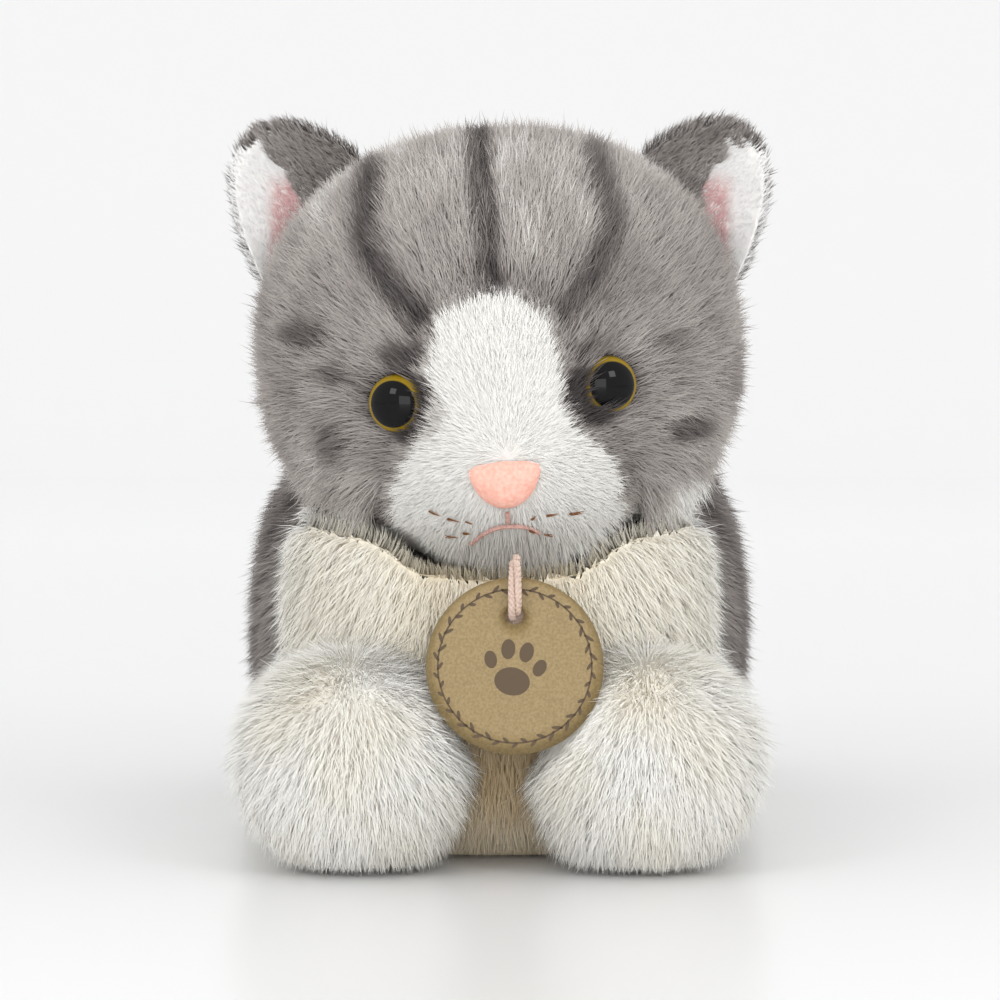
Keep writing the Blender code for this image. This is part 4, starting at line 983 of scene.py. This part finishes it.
def tail_shade(points):
    bars = ease(np.sin(points[:, 0] / 0.013 * 2.0 * pi), 0.1, 0.7)
    return GREY - 0.04 - 0.25 * bars + 0.04 * waves(points, 0.02, 16)


def make_tail(material, rng):
    route = smooth_route(TAIL_ROUTE, 6)
    along = np.linspace(0.0, 1.0, len(route))
    end = np.sqrt(np.maximum(0.0008, 1.0 - np.maximum(0.0, (along - 0.86) / 0.14) ** 2))
    radius = (TAIL_RADIUS - 3.0 * MM) * end
    grid = tube_grid(route, radius, 30)
    patch = Patch(grid, np.broadcast_to(route[:, None], grid.shape))
    roots, normals, places = patch.scatter(1.0, rng)
    way = unit(np.gradient(route, axis=0))
    comb = way[np.clip((places[:, 0] * (len(route) - 1)).astype(int), 0, len(route) - 1)]
    height = 3.0 * MM + 3.6 * MM * ease(roots[:, 2], 0.0, 0.008)
    shade = tail_shade(roots) + rng.normal(0.0, 0.03, len(roots))
    fibres("tail_fur", roots, normals, comb, height, 6.0 * MM, shade, "tail", material, "grey_plush", rng)
    base_skin("tail_cover", patch, tail_shade, "tail", material, "grey_plush", ("tail_skin",))


# ---- swing tag


def tag_place():
    low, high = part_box("swing_tag")
    return Matrix.Translation((low + high) / 2.0) @ Matrix.Rotation(-TAG_LEAN, 4, "X")


def on_tag(points, lift=0.0):
    """Points given as (across, up) on the tag's face, in the row frame."""
    points = np.asarray(points, float)
    local = vec(points[..., 0], -TAG_THICKNESS / 2.0 - lift, points[..., 1])
    place = np.array(tag_place())
    return local @ place[:3, :3].T + place[:3, 3]


def make_tag_disc():
    turn = ring(145)
    hole_z = TAG_RADIUS - TAG_HOLE_INSET
    soft = 0.00035
    rim = ((1.0, 1.0), (1.0, soft / TAG_THICKNESS), (0.3, 0.07), (0.0, 0.0))
    rows = [(0.0, soft * share, depth) for share, depth in rim]
    rows += [(out, 0.0, 0.0) for out in np.linspace(0.15, 0.85, 6)]
    rows += [(1.0, -soft * share, depth) for share, depth in reversed(rim)]
    rows += [(0.5, 0.0, 1.0), rows[0]]
    grid = []
    for out, grow, depth in rows:
        inner = vec(TAG_HOLE_RADIUS * np.cos(turn), hole_z + TAG_HOLE_RADIUS * np.sin(turn))
        outer = vec(TAG_RADIUS * np.cos(turn), TAG_RADIUS * np.sin(turn))
        flat = inner * (1.0 - out) + outer * out
        flat = flat + vec(np.cos(turn), np.sin(turn)) * (soft + grow if out == 1.0 else grow - soft)
        grid.append(on_tag(flat, -depth * TAG_THICKNESS)[0])
    stuff = noise_material("tag_leather", (134, 114, 74), (152, 131, 90), 1400.0, 0.55)
    link(grid_mesh("tag_disc", np.array(grid)), "tag", stuff, "tag", ("swing_tag",))


def oval(centre, width, height, lean, sides=14):
    """A fan of triangles: a filled oval on the tag's face."""
    turn = np.linspace(0.0, 2.0 * pi, sides, endpoint=False)
    x, z = width * np.cos(turn), height * np.sin(turn)
    rim = vec(x * cos(lean) - z * sin(lean), x * sin(lean) + z * cos(lean)) + centre
    points = np.vstack([np.array(centre)[None], rim])
    triangles = [(0, 1 + k, 1 + (k + 1) % sides) for k in range(sides)]
    return points, np.array(triangles)


def make_tag_print():
    """Printed on the tag: a wreath round the edge and a paw print."""
    shapes = []
    ring_radius = TAG_RADIUS * 0.88
    for k in range(LEAVES):
        a = 2.0 * pi * k / LEAVES
        tilt = a + pi / 2.0 + (0.65 if k % 2 else -0.65)
        out = ring_radius + (0.00055 if k % 2 else -0.00055)
        size = 0.0013 + 0.0003 * sin(5.0 * a)
        shapes.append(oval((out * cos(a), out * sin(a)), size, 0.00045, tilt, 8))
    band = ring(121)[0]
    circle = vec(np.cos(band), np.sin(band))
    edge = np.vstack([circle * (ring_radius + 0.0002), circle * (ring_radius - 0.0002)])
    shapes.append((edge, quads(2, len(band))))
    tip = radians(-10.0)
    pads = [(0.0, -0.0040, 0.0046, 0.0036, 0.0)]
    for side in (-1.0, 1.0):
        pads += [(side * 0.0064, 0.0006, 0.0016, 0.0023, side * -0.35),
                 (side * 0.0024, 0.0040, 0.0018, 0.0026, side * -0.1)]
    for x, z, width, height, lean in pads:
        place = (x * cos(tip) - z * sin(tip), x * sin(tip) + z * cos(tip))
        shapes.append(oval(place, width, height, lean + tip, 28))
    points, triangles = joined(shapes)
    points = on_tag(points, 0.00006)
    corners = points[triangles]
    facing = np.cross(corners[:, 1] - corners[:, 0], corners[:, 2] - corners[:, 0])[:, 1] > 0.0
    triangles[facing] = triangles[facing][:, ::-1]
    stuff = new_material("tag_ink", 0.6, (84, 66, 44))[0]
    link(triangle_mesh("tag_print", points, triangles), "tag", stuff, "tag")


def cord_route():
    """The route of part.py's cord: out of the chest, over the tag's edge and into its hole."""
    place = tag_place()
    turn = place.to_3x3()
    hole = place @ Vector((0.0, 0.0, TAG_RADIUS - TAG_HOLE_INSET))
    through, rim = turn @ Vector((0.0, 1.0, 0.0)), turn @ Vector((0.0, 0.0, 1.0))
    start = Vector(TAG_PIVOT)
    points = [
        start + Vector((0.0, -0.0012, 0.0)),
        start + Vector((0.0, -0.0055, 0.0040)),
        hole + rim * (TAG_HOLE_INSET + 0.0042) + through * 0.0022,
        hole + rim * (TAG_HOLE_INSET + 0.0036) - through * 0.0034,
        hole + rim * 0.0062 - through * 0.0046,
        hole + rim * 0.0014 - through * 0.0034,
        hole + through * (TAG_THICKNESS / 2.0 + 0.0004),
    ]
    return smooth_route([tuple(p) for p in points], 12)


def make_cord(material):
    """Two soft strands side by side, each of three plies."""
    route = cord_route()
    long = np.append(0.0, np.cumsum(norm(np.diff(route, axis=0))))
    ahead = unit(np.gradient(route, axis=0))
    side = unit(np.cross(ahead, np.array((0.02, 0.6, 0.4))))
    up = np.cross(side, ahead)
    plies = []
    for strand in (-1.0, 1.0):
        roll = long[:, None] / 0.060 * 2.0 * pi
        middle = route + strand * 0.85 * MM * (side * np.cos(roll) + up * np.sin(roll))
        for ply in range(3):
            turn = strand * long[:, None] / 0.0042 * 2.0 * pi + ply * 2.0 * pi / 3.0
            line = middle + 0.40 * MM * (side * np.cos(turn) + up * np.sin(turn))
            grid = tube_grid(line, 0.60 * MM, 8)
            plies.append((grid.reshape(-1, 3), quads(*grid.shape[:2])))
    obj = link(triangle_mesh("tag_cord_strands", *joined(plies)), "tag", material, "cord", ("tag_cord",))
    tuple(TAG_PIVOT)


def make_label():
    """A blank satin care label: one thin ribbon with a slight curl."""
    low, high = (np.array(v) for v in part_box("care_label"))
    middle, width, long = (low + high) / 2.0, 0.012, high[2] - low[2]
    turn = radians(-52.0)
    way, out = np.array((cos(turn), sin(turn), 0.0)), np.array((-sin(turn), cos(turn), 0.0))
    across = np.linspace(-width / 2.0, width / 2.0, 9)[None, :, None]
    up = np.linspace(-long / 2.0, long / 2.0, 17)[:, None, None]
    bend = 0.0009 * np.cos(up / long * pi * 1.5)
    grid = middle + across * way + up * np.array((0.0, 0.0, 1.0)) + bend * out
    stuff = noise_material("label_satin", (232, 230, 224), (240, 238, 233), 2500.0, 0.45)
    obj = link(grid_mesh("care_label_ribbon", grid), "torso", stuff, "label", ("care_label",))


# ---- carried-over CAD nodes, light and camera


def finish_cad_nodes(nodes, cord, filling):
    cotton = noise_material("pouch_cotton", (214, 208, 196), (228, 222, 210), 1200.0, 0.9)
    plastic = noise_material("washer_plastic", (218, 218, 216), (228, 228, 226), 200.0, 0.4)
    thread = noise_material("mouth_thread", (176, 134, 124), (200, 160, 150), 1500.0, 0.8)
    backing = noise_material("knitted_backing", (224, 222, 216), (238, 236, 230), 1500.0, 0.9)
    kinds = (("filling", filling), ("pouch", cotton), ("washer", plastic), ("thread", thread),
             ("closing_seam", backing), ("knot", cord), ("gusset", backing))
    for name, node in nodes.items():
        if node.hide_render:
            continue
        node.data.materials.clear()
        chosen = next(stuff for word, stuff in kinds if word in name)
        node.data.materials.append(chosen)


def make_floor():
    """A seamless sweep: a floor that curves up into a wall far behind."""
    turn = np.linspace(0.0, pi / 2.0, 25)
    y = np.concatenate([(-4.0, 1.5), 1.5 + 1.5 * np.sin(turn), (3.0,)])
    z = np.concatenate([(0.0, 0.0), 1.5 - 1.5 * np.cos(turn), (5.0,)])
    grid = np.stack([vec(x, y, z) for x in (-6.0, 6.0)], 1)
    floor = grid_mesh("studio_floor", grid)
    floor.data.flip_normals()
    stuff, tree, shader = new_material("studio_floor", 0.28, specular=0.3)
    where = add_node(tree, "TexCoord")
    split = add_node(tree, "SeparateXYZ")
    tree.links.new(where.outputs["Object"], split.inputs["Vector"])
    stops = (0.1, (234, 234, 234)), (1.0, (248, 248, 248))
    ramp(tree, stops, split.outputs["Y"], shader.inputs["Base Color"])
    floor.data.materials.append(stuff)
    bpy.context.scene.collection.objects.link(floor)


def stand_off(obj, centre, way, distance):
    """Stand a lamp or the camera off the centre, facing it."""
    obj.location = centre + way * distance
    obj.rotation_mode = "QUATERNION"
    obj.rotation_quaternion = (-way).to_track_quat("-Z", "Y")
    bpy.context.scene.collection.objects.link(obj)


def area_light(name, azimuth, elevation, distance, size, watts):
    data = bpy.data.lights.new(name, "AREA")
    data.shape = "SQUARE"
    data.size = size
    data.energy = watts
    a, e = radians(azimuth), radians(elevation)
    way = Vector((sin(a) * cos(e), -cos(a) * cos(e), sin(e)))
    stand_off(bpy.data.objects.new(name, data), Vector((0.0, -0.09, 0.10)), way, distance)


def make_light():
    world = bpy.data.worlds.new("studio")
    world.use_nodes = True
    background = world.node_tree.nodes["Background"]
    background.inputs["Color"].default_value = paint(246, 246, 246)
    background.inputs["Strength"].default_value = 1.08
    bpy.context.scene.world = world
    area_light("key_right", 38.0, 30.0, 1.3, 0.36, 2.6)
    area_light("key_left", -38.0, 30.0, 1.3, 0.36, 2.4)
    area_light("front_fill", 0.0, 1.0, 1.7, 1.1, 11.0)
    bpy.context.scene.view_settings.view_transform = "Standard"


def make_camera():
    data = bpy.data.cameras.new("camera")
    data.lens = CAMERA_LENS
    data.sensor_width = 36.0
    data.clip_start = 0.05
    camera = bpy.data.objects.new("camera", data)
    way = Vector((0.0, -cos(CAMERA_ELEVATION), sin(CAMERA_ELEVATION)))
    stand_off(camera, CAMERA_TARGET, way, CAMERA_DISTANCE)
    bpy.context.scene.camera = camera


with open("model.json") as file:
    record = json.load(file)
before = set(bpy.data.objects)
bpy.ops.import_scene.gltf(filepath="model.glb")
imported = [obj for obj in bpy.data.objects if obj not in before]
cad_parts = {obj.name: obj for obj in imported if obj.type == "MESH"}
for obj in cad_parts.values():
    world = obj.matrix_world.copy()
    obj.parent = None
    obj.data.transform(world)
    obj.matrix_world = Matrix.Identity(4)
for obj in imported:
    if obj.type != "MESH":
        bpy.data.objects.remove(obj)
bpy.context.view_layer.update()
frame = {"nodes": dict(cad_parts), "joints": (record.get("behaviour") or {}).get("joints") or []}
places = {joint["name"]: tuple(joint["pos_m"]) for joint in frame["joints"]}
HEAD_CENTRE = np.array(places["neck_turn"])
SHOULDER = np.array(places["left_front_leg_splay"])
HIP = np.array(places["left_hip_lift"])
TAG_PIVOT = places["tag_swing"]

rng = np.random.default_rng(SEED)
plush = fur_material()
ear_plush = lining_material()
polyester = noise_material("polyester_fibre", (226, 226, 224), (244, 244, 242), 300.0, 1.0)
cord_cotton = noise_material("cord_cotton", (196, 170, 156), (216, 194, 180), 1800.0, 0.85)

make_camera()
make_cord(cord_cotton)
head_fur(plush, rng)
make_eyes()
make_nose()
whisker_dashes(plush, rng)
for ear, ear_side in SIDES:
    make_ear(ear, ear_side, plush, ear_plush, rng)
torso_fur(plush, polyester, rng)
for leg, leg_side in SIDES:
    front_leg(leg, leg_side, plush, rng)
    hind_leg(leg, leg_side, plush, rng)
make_tail(plush, rng)
make_tag_disc()
make_tag_print()
make_label()
finish_cad_nodes(frame["nodes"], cord_cotton, polyester)
make_floor()
make_light()
